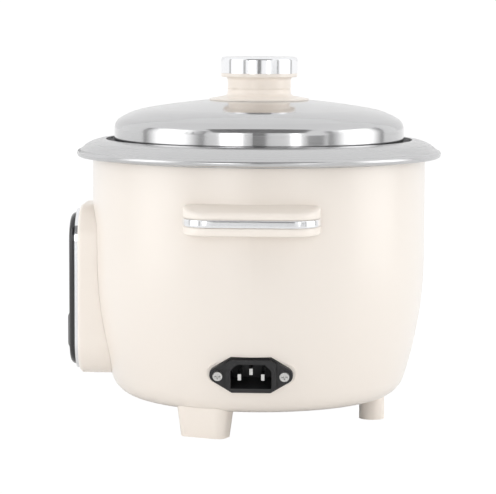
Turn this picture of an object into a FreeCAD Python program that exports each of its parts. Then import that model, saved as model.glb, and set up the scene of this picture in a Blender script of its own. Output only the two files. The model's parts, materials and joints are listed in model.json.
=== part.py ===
import FreeCAD, Part
import math
import os
import Sketcher

# Rice cooker, millimetres. +Z up, origin on the pot's axis at table level.
# The control box faces -Y, the inlet and one handle face +X.

SIZES = {
    # general fits
    "seam": 0.05,
    "running_gap": 0.4,
    "pin_fit": 0.05,
    # drum
    "shell_radius": 105.0,
    "shell_height": 149.7,
    "shell_wall": 1.2,
    "wall_height": 61.7,
    "belly_radius": 248.0,
    "corner_radius": 16.5,
    "base_height": 16.5,
    "lip_width": 5.0,
    "base_bore": 56.0,
    "cover_lap": 7.0,
    "cover_thick": 1.0,
    "cover_screw": 1.5,
    "cover_screw_head": 2.9,
    "cover_screw_head_height": 1.8,
    "cover_screw_length": 6.0,
    "shell_top": "base_height + shell_height",
    "knee_height": "shell_top - wall_height",
    "shell_lip_bore": "shell_radius - lip_width",
    "cover_radius": "base_bore + cover_lap",
    "cover_screw_ring": "base_bore + cover_lap / 2",
    # heat shield
    "shield_gap": 9.0,
    "shield_inset": 0.6,
    "shield_wall": 0.6,
    "shield_corner": 14.0,
    "shield_drop": 4.0,
    "eye_play": 5.2,
    "shield_bore": "shell_radius - shield_gap",
    "shield_flange": "shell_radius - shield_inset",
    # pot
    "pot_gap": 4.7,
    "pot_depth": 96.3,
    "pot_wall": 1.2,
    "pot_corner": 16.0,
    "ledge_rise": 7.2,
    "ledge_width": 5.5,
    "brim_rise": 4.8,
    "brim_bow": 20.0,
    "rim_reach": 10.0,
    "bead_radius": 2.3,
    "bead_rise": 3.2,
    "pot_bore": "shield_bore - pot_gap",
    "ledge_height": "shell_top + ledge_rise",
    "ledge_radius": "pot_bore + ledge_width",
    "pot_base": "ledge_height - pot_depth",
    "brim_height": "ledge_height + brim_rise",
    "rim_radius": "shell_radius + rim_reach",
    "bead_height": "shell_top + bead_rise",
    # lid
    "lid_play": 1.0,
    "lid_flange": 4.3,
    "lid_sheet": 0.7,
    "lid_height": 30.6,
    "crown_radius": 400.0,
    "crown_inset": 20.0,
    "haunch_radius": 50.0,
    "haunch_inset": 4.0,
    "lid_edge": "ledge_radius - lid_play",
    "lid_radius": "lid_edge - lid_flange",
    "lid_top": "ledge_height + lid_height",
    "crown_reach": "lid_radius - crown_inset",
    "haunch_reach": "lid_radius - haunch_inset",
    # knob
    "knob_height": 26.0,
    "cap_height": 10.3,
    "cap_round": 2.2,
    "cap_flange": 2.4,
    "cap_lap": 4.3,
    "cap_lip": 0.6,
    "neck_radius": 20.0,
    "neck_round": 2.0,
    "flare_rise": 3.8,
    "flare_round": 2.5,
    "flare_slope": 10.0,
    "skirt_flare": 11.5,
    "skirt_edge": 0.9,
    "split_rise": 6.0,
    "split_width": 0.5,
    "split_depth": 0.8,
    "line_rise": 8.0,
    "line_width": 0.4,
    "line_depth": 0.3,
    "plug_inset": 4.0,
    "plug_depth": 3.0,
    "knob_screw_radius": 2.0,
    "knob_screw_play": 0.3,
    "knob_screw_tip": 1.0,
    "knob_screw_head": 4.5,
    "knob_head_height": 2.4,
    "knob_washer_radius": 8.0,
    "knob_washer_thick": 1.2,
    "cap_top": "lid_top + knob_height",
    "cap_base": "cap_top - cap_height",
    "cap_radius": "neck_radius + cap_lap",
    "cap_plug": "neck_radius - plug_inset",
    "neck_foot": "lid_top + flare_rise",
    "neck_split": "lid_top + split_rise",
    "neck_line": "lid_top + line_rise",
    "skirt_radius": "neck_radius + skirt_flare",
    "knob_hole": "knob_screw_radius + knob_screw_play",
    # heating plate and element
    "plate_gap": 0.1,
    "plate_thick": 14.0,
    "plate_inset": 19.3,
    "plate_rim": 10.0,
    "plate_edge": 2.5,
    "plate_play": 3.0,
    "boss_inset": 12.0,
    "element_inset": 22.0,
    "element_radius": 4.0,
    "element_drop": 2.0,
    "element_gap": 30.0,
    "terminal_step": 3.0,
    "terminal_radius": 1.8,
    "terminal_length": 9.0,
    "terminal_hole": 6.0,
    "support_inset": 6.0,
    "support_radius": 5.0,
    "support_screw": 2.0,
    "support_head": 4.0,
    "support_head_height": 2.2,
    "support_bite": 6.0,
    "plate_top": "pot_base - plate_gap",
    "plate_base": "plate_top - plate_thick",
    "plate_radius": "pot_bore - plate_inset",
    "plate_boss": "plate_radius - boss_inset",
    "element_ring": "plate_radius - element_inset",
    "support_ring": "plate_radius - support_inset",
    "shield_base": "plate_base - shield_drop",
    "terminal_end": "shield_base - terminal_length",
    # sensor
    "sensor_radius": 17.0,
    "sensor_wall": 0.6,
    "sensor_depth": 23.0,
    "guide_play": 0.6,
    "guide_wall": 1.2,
    "guide_lip": 11.2,
    "guide_plate": 1.4,
    "guide_depth": 15.0,
    "ferrite_inset": 4.0,
    "ferrite_thick": 6.3,
    "magnet_inset": 1.0,
    "magnet_thick": 5.0,
    "magnet_gap": 5.6,
    "rod_radius": 2.5,
    "rod_tail": 7.5,
    "collar_width": 3.5,
    "collar_drop": 6.0,
    "collar_thick": 1.5,
    "collar_play": 4.0,
    "rod_spring_play": 2.1,
    "rod_spring_wire": 0.45,
    "rod_spring_turns": 5,
    "sensor_spring_inset": 3.2,
    "sensor_spring_wire": 0.55,
    "sensor_spring_turns": 2.5,
    "plate_bore": "sensor_radius + plate_play",
    "guide_bore": "sensor_radius + guide_play",
    "guide_flange": "guide_bore + guide_wall + guide_lip",
    "guide_base": "plate_base - guide_depth",
    "shield_eye": "guide_bore + guide_wall + eye_play",
    "ferrite_radius": "sensor_radius - ferrite_inset",
    "magnet_radius": "ferrite_radius - magnet_inset",
    "collar_radius": "rod_radius + collar_width",
    "collar_base": "guide_base - collar_drop",
    "rod_end": "collar_base - rod_tail",
    "guide_eye": "collar_radius + collar_play",
    "rod_spring_radius": "rod_radius + rod_spring_play",
    "sensor_spring_radius": "sensor_radius - sensor_spring_inset",
    # lever
    "pivot_gap": 43.0,
    "pivot_rise": 2.0,
    "pivot_radius": 2.0,
    "barrel_radius": 4.0,
    "barrel_blend": 2.0,
    "lever_width": 9.0,
    "lever_thick": 2.0,
    "fork_play": 2.7,
    "fork_gap": 1.0,
    "fork_reach": 9.0,
    "fork_bend": 16.0,
    "front_bend": 24.0,
    "front_ramp": 6.0,
    "step_rise": 2.0,
    "head_height": 16.0,
    "cheek_thick": 1.5,
    "cheek_gap": 0.7,
    "cheek_half": 8.0,
    "cheek_drop": 6.0,
    "bracket_plate": 1.5,
    "bracket_nose": 4.0,
    "bracket_short": 8.0,
    "arm_rise": 2.0,
    "pin_tail": 1.5,
    "window_play": 4.5,
    "window_drop": 8.0,
    "window_rise": 12.0,
    "pivot_reach": "sensor_radius + pivot_gap",
    "pivot_height": "collar_base + pivot_rise",
    "lever_step": "pivot_height + step_rise",
    "lever_head": "lever_step + head_height",
    "fork_slot": "rod_radius * 2 + fork_gap",
    "window_width": "lever_width + window_play * 2",
    "window_base": "pivot_height - window_drop",
    "window_top": "pivot_height + window_rise",
    # micro switch
    "switch_gap": 25.0,
    "switch_length": 28.0,
    "switch_height": 13.4,
    "switch_thick": 9.6,
    "button_reach": 22.0,
    "button_radius": 1.6,
    "button_proud": 3.0,
    "button_sink": 2.0,
    "button_room": 1.0,
    "tag_drop": 3.0,
    "tag_half": 1.6,
    "tag_thick": 0.8,
    "tag_pitch": 10.0,
    "tag_first": 4.0,
    "switch_front": "sensor_radius + switch_gap",
    # thermal fuse
    "fuse_radius": 2.5,
    "fuse_length": 22.0,
    "fuse_side": 36.0,
    "fuse_back": 16.0,
    "fuse_drop": 5.5,
    "clip_width": 8.0,
    "clip_wall": 1.5,
    "fuse_height": "shield_base - fuse_drop",
    # control box
    "box_half": 34.0,
    "box_rise": 13.0,
    "box_drop": 42.2,
    "box_corner": 22.0,
    "box_reach": 7.0,
    "box_root": 35.0,
    "box_wall": 2.2,
    "box_round": 2.6,
    "trim_margin": 3.0,
    "trim_proud": 1.9,
    "panel_margin": 2.5,
    "panel_reach": 6.0,
    "panel_sink": 5.8,
    "panel_wall": 2.2,
    "panel_round": 3.2,
    "panel_ear": 1.5,
    "ear_half": 9.0,
    "ear_spread": 18.0,
    "key_half": 12.0,
    "key_drop": 0.4,
    "key_height": 25.8,
    "key_proud": 2.4,
    "key_ease": 5.0,
    "key_sink": 5.4,
    "key_travel": 5.3,
    "key_lap": 5.4,
    "key_side_lap": 1.0,
    "key_web": 1.4,
    "key_stem": 4.0,
    "stem_height": 12.0,
    "stem_length": 8.6,
    "lens_radius": 3.5,
    "lens_pitch": 18.0,
    "lens_drop": 37.0,
    "lens_collar": 1.2,
    "lens_depth": 5.5,
    "lamp_radius": 2.2,
    "lamp_length": 5.0,
    "holder_half": 15.0,
    "holder_height": 12.0,
    "holder_thick": 2.5,
    "holder_leg": 3.0,
    "holder_back": 1.0,
    "boss_side": 11.0,
    "boss_radius": 3.0,
    "boss_margin": 4.0,
    "box_screw": 1.4,
    "box_screw_head": 2.8,
    "box_screw_head_height": 1.8,
    "box_screw_short": 0.8,
    "box_height": "shell_height - box_drop",
    "box_base": "base_height + box_rise",
    "box_top": "box_base + box_height",
    "box_front": "shell_radius + box_reach",
    "box_back": "shell_radius - box_root",
    "panel_front": "box_front + panel_reach",
    "panel_back": "box_front - panel_sink",
    "key_base": "pivot_height - key_drop",
    "key_top": "key_base + key_height",
    "key_front": "panel_front + key_proud",
    "key_back": "panel_front - key_sink",
    "lever_plate": "key_back - stem_length",
    "lens_height": "box_top - lens_drop",
    "boss_low": "box_base + boss_margin",
    "boss_high": "box_top - boss_margin",
    # inlet, local frame: x out of the shell, y across, z up
    "inlet_rise": 25.5,
    "inlet_recess": 2.2,
    "inlet_pitch": 40.0,
    "ear_radius": 5.0,
    "ear_lean": 57.0,
    "flange_flat": 23.8,
    "flange_lip": 1.4,
    "flange_thick": 2.6,
    "block_width": 30.0,
    "block_proud": 1.8,
    "block_inset": 0.6,
    "inlet_body_depth": 16.0,
    "socket_width": 24.5,
    "socket_height": 15.6,
    "socket_chamfer": 4.0,
    "socket_floor": 3.0,
    "socket_side": 1.25,
    "socket_roof": 1.9,
    "blade_width": 2.0,
    "blade_height": 4.0,
    "blade_pitch": 14.0,
    "blade_drop": 1.2,
    "earth_rise": 2.4,
    "blade_short": 2.0,
    "blade_tail": 1.0,
    "tab_length": 8.0,
    "tab_height": 6.4,
    "tab_thick": 0.8,
    "inlet_screw": 1.9,
    "inlet_head_lap": 1.0,
    "inlet_head_height": 1.9,
    "inlet_screw_length": 9.0,
    "cross_slot": 0.9,
    "cross_depth": 1.1,
    "nut_radius": 4.0,
    "nut_thick": 2.6,
    "inlet_height": "base_height + inlet_rise",
    "inlet_body_width": "socket_width + socket_side * 2",
    "inlet_body_height": "socket_height + socket_roof * 2",
    "flange_height": "inlet_body_height + flange_lip * 2",
    "inlet_head": "inlet_screw + inlet_head_lap",
    # handles
    "grip_half": 38.4,
    "grip_corner": 15.0,
    "grip_drop": 21.2,
    "grip_height": 16.3,
    "grip_proud": 14.0,
    "grip_sink": 17.0,
    "grip_fall": 3.8,
    "grip_wall": 3.2,
    "roof_drop": 7.0,
    "grip_round": 1.8,
    "strip_height": 4.5,
    "strip_rise": 6.65,
    "strip_depth": 1.2,
    "strip_proud": 0.3,
    "strip_tail": 2.0,
    "grip_screw_side": 25.0,
    "grip_screw_drop": 4.0,
    "grip_screw": 1.6,
    "grip_screw_head": 2.8,
    "grip_screw_head_height": 1.8,
    "grip_screw_bite": 6.0,
    "grip_top": "shell_top - grip_drop",
    "grip_base": "grip_top - grip_height",
    "grip_reach": "shell_radius + grip_proud",
    "grip_root": "shell_radius - grip_sink",
    "grip_roof": "grip_top - roof_drop",
    "strip_centre": "grip_base + strip_rise",
    "grip_screw_height": "grip_top - grip_screw_drop",
    # feet
    "foot_inset": 35.0,
    "foot_y": -29.0,
    "foot_length": 29.3,
    "foot_depth": 15.0,
    "foot_corner": 5.0,
    "foot_draft": 7.7,
    "foot_lap": 7.5,
    "rear_foot_radius": 8.0,
    "rear_foot_inset": 32.0,
    "foot_bore": 4.2,
    "foot_bore_depth": 9.0,
    "foot_screw": 1.9,
    "foot_screw_head": 3.6,
    "foot_screw_head_height": 2.2,
    "foot_screw_bite": 5.5,
    "foot_x": "shell_radius - foot_inset",
    "foot_rise": "base_height + foot_lap",
    "rear_foot_back": "shell_radius - rear_foot_inset",
    "foot_screw_end": "base_height + foot_screw_bite",
    # leads
    "earth_inset": 49.0,
    "earth_back": 30.0,
    "earth_screw": 1.6,
    "earth_head": 3.2,
    "earth_head_height": 2.0,
    "earth_length": 4.0,
    "lead_radius": 1.3,
    "lead_bend": 6.0,
    "lead_run": 8.0,
    "earth_side": "shell_radius - earth_inset",
}


class Size:
    """A number that also carries the formula which binds it to the sheet."""

    def __init__(self, value, formula):
        self.value = value
        self.formula = formula

    def __add__(self, other):
        other = as_size(other)
        return Size(self.value + other.value, f"({self.formula} + {other.formula})")

    def __sub__(self, other):
        other = as_size(other)
        return Size(self.value - other.value, f"({self.formula} - {other.formula})")

    def __mul__(self, other):
        other = as_size(other)
        return Size(self.value * other.value, f"({self.formula} * {other.formula})")

    def __truediv__(self, other):
        other = as_size(other)
        return Size(self.value / other.value, f"({self.formula} / {other.formula})")

    def __radd__(self, other):
        return as_size(other) + self

    def __rsub__(self, other):
        return as_size(other) - self

    def __rmul__(self, other):
        return as_size(other) * self

    def __neg__(self):
        return Size(-self.value, f"(0 - {self.formula})")


def as_size(number):
    if isinstance(number, Size):
        return number
    return Size(float(number), f"({float(number)})")


def root(size):
    return Size(math.sqrt(size.value), f"sqrt({size.formula})")


def sine(degrees):
    degrees = as_size(degrees)
    return Size(math.sin(math.radians(degrees.value)), f"sin({degrees.formula})")


def cosine(degrees):
    degrees = as_size(degrees)
    return Size(math.cos(math.radians(degrees.value)), f"cos({degrees.formula})")


def leg(hypotenuse, side):
    return root(hypotenuse * hypotenuse - side * side)


doc = FreeCAD.newDocument("rice_cooker")
sheet = doc.addObject("Spreadsheet::Sheet", "dims")


class Dims:
    pass


d = Dims()
for row, (alias, content) in enumerate(SIZES.items(), 1):
    sheet.set(f"A{row}", alias)
    sheet.setAlias(f"B{row}", alias)
for row, content in enumerate(SIZES.values(), 1):
    sheet.set(f"B{row}", f"={content}" if isinstance(content, str) else str(content))
doc.recompute()
for alias in SIZES:
    setattr(d, alias, Size(float(sheet.get(alias)), f"dims.{alias}"))

NODES = []


def node(label, obj):
    """Register a finished sub-part under the name of its file."""
    obj.Label = label
    NODES.append(obj)
    return obj


def bind(obj, prop, size):
    obj.setExpression(prop, as_size(size).formula)


def place(obj, at=(0, 0, 0), axis=None, angle=0):
    """Bind an object's position and turn it about an axis by an angle in degrees."""
    if axis is not None:
        obj.Placement = FreeCAD.Placement(
            FreeCAD.Vector(0, 0, 0),
            FreeCAD.Rotation(FreeCAD.Vector(*axis), as_size(angle).value),
        )
        if isinstance(angle, Size):
            bind(obj, "Placement.Rotation.Angle", angle)
    for letter, size in zip("xyz", at):
        bind(obj, f"Placement.Base.{letter}", size)
    return obj


UP = (None, 0)
ALONG_X = ((0, 1, 0), 90)
ALONG_Y = ((1, 0, 0), -90)


def cylinder(name, radius, height, at, turn=UP):
    obj = doc.addObject("Part::Cylinder", name)
    bind(obj, "Radius", radius)
    bind(obj, "Height", height)
    return place(obj, at, *turn)


def box(name, low, high):
    """A box between two corners."""
    obj = doc.addObject("Part::Box", name)
    for prop, a, b in zip(("Length", "Width", "Height"), low, high):
        bind(obj, prop, as_size(b) - a)
    return place(obj, low)


def fuse(name, *parts):
    obj = doc.addObject("Part::MultiFuse", name)
    obj.Shapes = list(parts)
    obj.Refine = True
    return obj


def cut(name, base, *tools):
    obj = doc.addObject("Part::Cut", name)
    obj.Base = base
    obj.Tool = tools[0] if len(tools) == 1 else group(name + "_tools", tools)
    return obj


def common(name, one, two):
    obj = doc.addObject("Part::Common", name)
    obj.Base = one
    obj.Tool = two
    return obj


def group(name, parts):
    obj = doc.addObject("Part::Compound", name)
    obj.Links = list(parts)
    return obj


def arc_centre(start, end, radius, turn):
    """Centre of an arc; turn is 1 for left, -1 for right, and 2 or -2 for the long way round."""
    chord = end - start
    half = chord.Length / 2
    rise = math.sqrt(max(radius * radius - half * half, 0.0))
    side = FreeCAD.Vector(-chord.y, chord.x, 0).normalize()
    left = (turn > 0) == (abs(turn) == 1)
    return (start + end) * 0.5 + side * (rise if left else -rise)


def draw(sketch, loop):
    """Draw one closed loop of (u, v) or (u, v, radius, turn) corners and pin each corner."""
    first = sketch.GeometryCount
    count = len(loop)
    points = [FreeCAD.Vector(as_size(p[0]).value, as_size(p[1]).value, 0) for p in loop]
    heads = []
    for i, corner in enumerate(loop):
        start = points[i]
        end = points[(i + 1) % count]
        if len(corner) == 2:
            sketch.addGeometry(Part.LineSegment(start, end))
            heads.append((1, 2))
            continue
        radius, turn = as_size(corner[2]), corner[3]
        centre = arc_centre(start, end, radius.value, turn)
        low, high = (start, end) if turn > 0 else (end, start)
        a = math.atan2(low.y - centre.y, low.x - centre.x)
        b = math.atan2(high.y - centre.y, high.x - centre.x)
        circle = Part.Circle(centre, FreeCAD.Vector(0, 0, 1), radius.value)
        sketch.addGeometry(Part.ArcOfCircle(circle, a, b if b > a else b + 2 * math.pi))
        heads.append((1, 2) if turn > 0 else (2, 1))
    for i, corner in enumerate(loop):
        here, before = first + i, first + (i - 1) % count
        start = heads[i][0]
        last = heads[(i - 1) % count][1]
        sketch.addConstraint(Sketcher.Constraint("Coincident", before, last, here, start))
        pin(sketch, here, start, corner[0], corner[1])
        if len(corner) == 4:
            index = sketch.addConstraint(Sketcher.Constraint("Radius", here, as_size(corner[2]).value))
            bind(sketch, f"Constraints[{index}]", corner[2])


def pin(sketch, geometry, point, u, v):
    for kind, size, axis in (("DistanceX", u, -2), ("DistanceY", v, -1)):
        size = as_size(size)
        if abs(size.value) < 1e-9:
            sketch.addConstraint(Sketcher.Constraint("PointOnObject", geometry, point, axis))
            continue
        index = sketch.addConstraint(Sketcher.Constraint(kind, -1, 1, geometry, point, size.value))
        bind(sketch, f"Constraints[{index}]", size)


def ring(sketch, u, v, radius):
    centre = FreeCAD.Vector(as_size(u).value, as_size(v).value, 0)
    circle = Part.Circle(centre, FreeCAD.Vector(0, 0, 1), as_size(radius).value)
    geometry = sketch.addGeometry(circle)
    pin(sketch, geometry, 3, u, v)
    index = sketch.addConstraint(Sketcher.Constraint("Radius", geometry, as_size(radius).value))
    bind(sketch, f"Constraints[{index}]", radius)


def new_body(name):
    return doc.addObject("PartDesign::Body", name + "_body")


def sketch_on(body, name, plane, loops, offset=0):
    sketch = body.newObject("Sketcher::SketchObject", name)
    face = [f for f in body.Origin.OriginFeatures if f.Role == plane][0]
    sketch.AttachmentSupport = [(face, "")]
    sketch.MapMode = "FlatFace"
    bind(sketch, "AttachmentOffset.Base.z", offset)
    for loop in loops:
        if isinstance(loop, tuple):
            ring(sketch, *loop)
        else:
            draw(sketch, loop)
    return sketch


def revolve(name, *loops, angle=360):
    """A body turned about the pot's axis from loops of (radius, height) corners."""
    body = new_body(name)
    turned = body.newObject("PartDesign::Revolution", name + "_turned")
    sketch = sketch_on(body, name + "_profile", "XZ_Plane", loops)
    turned.Profile = sketch
    turned.ReferenceAxis = (sketch, ["V_Axis"])
    bind(turned, "Angle", angle)
    body.Tip = turned
    return body


def pad(body, name, plane, loops, offset, length, taper=None):
    sketch = sketch_on(body, name + "_outline", plane, loops, offset)
    raised = body.newObject("PartDesign::Pad", name)
    raised.Profile = sketch
    bind(raised, "Length", length)
    if taper is not None:
        bind(raised, "TaperAngle", taper)
    body.Tip = raised
    return raised


def pocket(body, name, plane, loops, offset, depth):
    sketch = sketch_on(body, name + "_outline", plane, loops, offset)
    sunk = body.newObject("PartDesign::Pocket", name)
    sunk.Profile = sketch
    bind(sunk, "Length", depth)
    body.Tip = sunk
    return sunk


def soften(body, name, base, radius, wanted):
    """Round the edges of a body which the given test picks."""
    doc.recompute()
    edges = [f"Edge{i}" for i, e in enumerate(base.Shape.Edges, 1) if wanted(e)]
    rounded = body.newObject("PartDesign::Fillet", name)
    rounded.Base = (base, edges)
    bind(rounded, "Radius", radius)
    body.Tip = rounded
    return rounded


def rounded_rectangle(half_u, low, high, corner):
    """Outline centred on u = 0, from low to high in v."""
    right, left = as_size(half_u), -as_size(half_u)
    return [
        (left + corner, low),
        (right - corner, low, corner, 1),
        (right, low + corner),
        (right, high - corner, corner, 1),
        (right - corner, high),
        (left + corner, high, corner, 1),
        (left, high - corner),
        (left, low + corner, corner, 1),
    ]


def rectangle(u0, v0, u1, v1):
    return [(u0, v0), (u1, v0), (u1, v1), (u0, v1)]


def around(radius, degrees):
    return radius * cosine(degrees), radius * sine(degrees)


def coil(name, radius, wire, low, high, turns, arcs):
    """A round-wire spring about the pot's axis, its path made of a few arcs in each turn."""
    r = as_size(radius).value
    w = as_size(wire).value
    z0 = as_size(low).value + w
    z1 = as_size(high).value - w
    steps = int(turns.value * arcs)

    def at(step):
        angle = 2 * math.pi * step / arcs
        height = z0 + (z1 - z0) * step / steps
        return FreeCAD.Vector(r * math.cos(angle), r * math.sin(angle), height)

    edges = [Part.Arc(at(i), at(i + 0.5), at(i + 1)).toShape() for i in range(steps)]
    return sweep(name, edges, w)


def sweep(name, edges, radius):
    path = Part.Wire(edges)
    start = edges[0].valueAt(edges[0].FirstParameter)
    along = edges[0].tangentAt(edges[0].FirstParameter)
    section = Part.Wire([Part.makeCircle(radius, start, along)])
    obj = doc.addObject("Part::Feature", name)
    obj.Shape = path.makePipeShell([section], True, False)
    return obj


def lead(name, *corners):
    """An insulated lead along straight runs with rounded bends."""
    points = [FreeCAD.Vector(*[as_size(c).value for c in corner]) for corner in corners]
    bend = d.lead_bend.value
    edges = []
    here = points[0]
    for before, corner, after in zip(points, points[1:], points[2:]):
        into = (corner - before).normalize()
        out = (after - corner).normalize()
        half = math.acos(max(-1.0, min(1.0, into.dot(out)))) / 2
        back = bend * math.tan(half)
        start, end = corner - into * back, corner + out * back
        inward = (out - into).normalize()
        middle = corner + inward * (bend / math.cos(half) - bend)
        edges.append(Part.makeLine(here, start))
        edges.append(Part.Arc(start, middle, end).toShape())
        here = end
    edges.append(Part.makeLine(here, points[-1]))
    return node(name, sweep(name, edges, d.lead_radius.value))


# Drum outline: straight wall, long belly arc, small corner arc, flat base.
belly_r = d.shell_radius - d.belly_radius
corner_z = d.base_height + d.corner_radius
arc_gap = d.belly_radius - d.corner_radius
corner_r = belly_r + leg(arc_gap, d.knee_height - corner_z)


def drum(inset):
    reach = (d.belly_radius - inset) / arc_gap
    return [
        (corner_r, d.base_height + inset, d.corner_radius - inset, 1),
        (
            belly_r + (corner_r - belly_r) * reach,
            d.knee_height + (corner_z - d.knee_height) * reach,
            d.belly_radius - inset,
            1,
        ),
        (d.shell_radius - inset, d.knee_height),
    ]


def belly_at(height, inset=0):
    """Radius of the drum's belly at a height."""
    return belly_r + leg(d.belly_radius - inset, d.knee_height - height)


def drum_block(name, grow):
    """The drum as a solid, grown by a clearance, to cut neighbours to its form."""
    grow = as_size(grow)
    return revolve(
        name,
        [
            (0, d.base_height - grow),
            *drum(-grow),
            (d.shell_radius + grow, d.shell_top),
            (0, d.shell_top),
        ],
    )


def drum_cutter(name):
    return drum_block(name, d.seam)


inner = drum(d.shell_wall)
shell_blank = revolve(
    "shell_blank",
    [
        (d.base_bore, d.base_height),
        *drum(as_size(0)),
        (d.shell_radius, d.shell_top),
        (d.shell_lip_bore, d.shell_top),
        (d.shell_lip_bore, d.shell_top - d.shell_wall),
        (d.shell_radius - d.shell_wall, d.shell_top - d.shell_wall),
        (*inner[2], inner[1][2], -1),
        (*inner[1][:2], inner[0][2], -1),
        inner[0][:2],
        (d.base_bore, d.base_height + d.shell_wall),
    ],
)

# Inlet seat: a flat pressed into the belly, square to its slope.
slope_sine = (d.knee_height - d.inlet_height) / d.belly_radius
inlet_tilt = Size(math.degrees(math.asin(slope_sine.value)), f"(asin({slope_sine.formula}) / 1 deg)")
seat_arm = d.belly_radius - d.inlet_recess
inlet_at = (
    belly_r + seat_arm * cosine(inlet_tilt),
    as_size(0),
    d.knee_height - seat_arm * slope_sine,
)


def in_seat(obj):
    return place(obj, inlet_at, (0, 1, 0), inlet_tilt)


def ear_outline(grow):
    grow = as_size(grow)
    wide = d.flange_flat / 2 + grow / 2
    tall = d.flange_height / 2 + grow
    end_u = d.inlet_pitch / 2 + (d.ear_radius + grow) * cosine(d.ear_lean)
    end_v = (d.ear_radius + grow) * sine(d.ear_lean)
    return [
        (-wide, -tall),
        (wide, -tall),
        (end_u, -end_v, d.ear_radius + grow, 1),
        (end_u, end_v),
        (wide, tall),
        (-wide, tall),
        (-end_u, end_v, d.ear_radius + grow, 1),
        (-end_u, -end_v),
    ]


def seat_block(name, outline, low, high):
    body = new_body(name)
    pad(body, name, "YZ_Plane", [outline], low, as_size(high) - low)
    return in_seat(body)


def seat_rod(name, radius, low, high, across, up=0):
    """A round bar square to the inlet seat."""
    body = new_body(name)
    pad(body, name, "YZ_Plane", [(across, up, radius)], low, as_size(high) - low)
    return in_seat(body)


seat_play = d.running_gap
seat_wall = common(
    "seat_wall",
    seat_block("seat_wall_block", ear_outline(seat_play + d.shell_wall), -6, 6),
    drum_block("seat_limit", 0),
)
seat_plate = seat_block("seat_plate", ear_outline(seat_play + d.shell_wall), -d.shell_wall, 0)
shell_seat = fuse("shell_seat", shell_blank, seat_wall, seat_plate)
seat_tools = [
    seat_block("seat_front", ear_outline(seat_play), 0, 8),
    seat_block("seat_back", ear_outline(seat_play), -12, -d.shell_wall),
    seat_block(
        "seat_window",
        rounded_rectangle(
            d.inlet_body_width / 2 + d.running_gap,
            -d.inlet_body_height / 2 - d.running_gap,
            d.inlet_body_height / 2 + d.running_gap,
            as_size(1),
        ),
        -8,
        1,
    ),
]
for side in (-1, 1):
    seat_tools.append(
        seat_rod("seat_hole", d.inlet_screw + d.running_gap / 2, -8, 1, side * d.inlet_pitch / 2)
    )

# Holes in the shell for the screws of the feet, handles, cover and control box.
foot_turn = Size(
    math.degrees(math.atan2(d.foot_y.value, d.foot_x.value)),
    f"(atan({d.foot_y.formula} / {d.foot_x.formula}) / 1 deg)",
)
FEET = {
    "right": (d.foot_x, d.foot_y, foot_turn),
    "left": (-d.foot_x, d.foot_y, -foot_turn),
}
foot_spots = [(x, y) for x, y, _ in FEET.values()] + [(as_size(0), d.rear_foot_back)]
cover_spots = [around(d.cover_screw_ring, angle) for angle in (35, 145, 270)]

shell_tools = list(seat_tools)
for x, y in foot_spots:
    shell_tools.append(
        cylinder("foot_hole", d.foot_screw + d.seam, d.foot_screw_end, (x, y, d.base_height - 4))
    )
for x, y in cover_spots:
    shell_tools.append(cylinder("cover_hole", d.cover_screw + d.seam, 8, (x, y, d.base_height - 4)))
for side in (-1, 1):
    for hand in (-1, 1):
        shell_tools.append(
            cylinder(
                "grip_hole",
                d.grip_screw + d.seam,
                20,
                (side * d.shell_radius - 10, hand * d.grip_screw_side, d.grip_screw_height),
                ALONG_X,
            )
        )
    for height in (d.boss_low, d.boss_high):
        shell_tools.append(
            cylinder(
                "box_hole",
                d.box_screw + d.seam,
                d.box_root,
                (side * d.boss_side, -d.box_front, height),
                ALONG_Y,
            )
        )
shell_tools.append(
    box(
        "lever_window",
        (-d.window_width / 2, -d.box_front, d.window_base),
        (d.window_width / 2, -d.box_back, d.window_top),
    )
)
node("outer_shell", cut("outer_shell", shell_seat, *shell_tools))

# Bottom cover with radial vents.
cover_blank = cylinder("cover_blank", d.cover_radius, d.cover_thick, (0, 0, d.base_height - d.cover_thick))
cover_tools = []
for i in range(12):
    vent = doc.addObject("Part::Box", "vent")
    bind(vent, "Length", d.cover_radius / 4)
    bind(vent, "Width", d.cover_thick * 3)
    bind(vent, "Height", d.cover_thick * 4)
    x, y = around(d.cover_radius / 2, 30 * i)
    cover_tools.append(place(vent, (x, y, d.base_height - d.cover_thick * 3), (0, 0, 1), 30 * i))
for x, y in cover_spots:
    cover_tools.append(cylinder("cover_eye", d.cover_screw + d.seam, 8, (x, y, d.base_height - 4)))
node("bottom_cover", cut("bottom_cover", cover_blank, *cover_tools))


def screw(name, head, head_height, shank, length, at, turn=UP, flip=False):
    """Pan-head screw with a cross recess; at is the seat under the head, which faces down unless flipped."""
    down = -1 if not flip else 1
    body = new_body(name)
    if down < 0:
        pad(body, name + "_head", "XY_Plane", [(0, 0, head)], -as_size(head_height), head_height)
        pad(body, name + "_shank", "XY_Plane", [(0, 0, shank)], 0, length)
        face = -as_size(head_height)
    else:
        pad(body, name + "_head", "XY_Plane", [(0, 0, head)], 0, head_height)
        pad(body, name + "_shank", "XY_Plane", [(0, 0, shank)], -as_size(length), length)
        face = as_size(head_height)
    slot = d.cross_slot / 2
    reach = as_size(head) * 0.6
    sink = d.cross_depth
    low, high = (face, face + sink) if down < 0 else (face - sink, face)
    place(body, at, *turn)
    bars = []
    for u, v in ((reach, slot), (slot, reach)):
        bar = new_body(name + "_bar")
        pad(bar, name + "_bar", "XY_Plane", [rectangle(-u, -v, u, v)], low, high - low)
        bars.append(place(bar, at, *turn))
    return cut(name, body, *bars)


node(
    "bottom_cover_screws",
    group(
        "bottom_cover_screws",
        [
            screw(
                "cover_screw",
                d.cover_screw_head,
                d.cover_screw_head_height,
                d.cover_screw,
                d.cover_screw_length,
                (x, y, d.base_height - d.cover_thick),
            )
            for x, y in cover_spots
        ],
    ),
)

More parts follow.
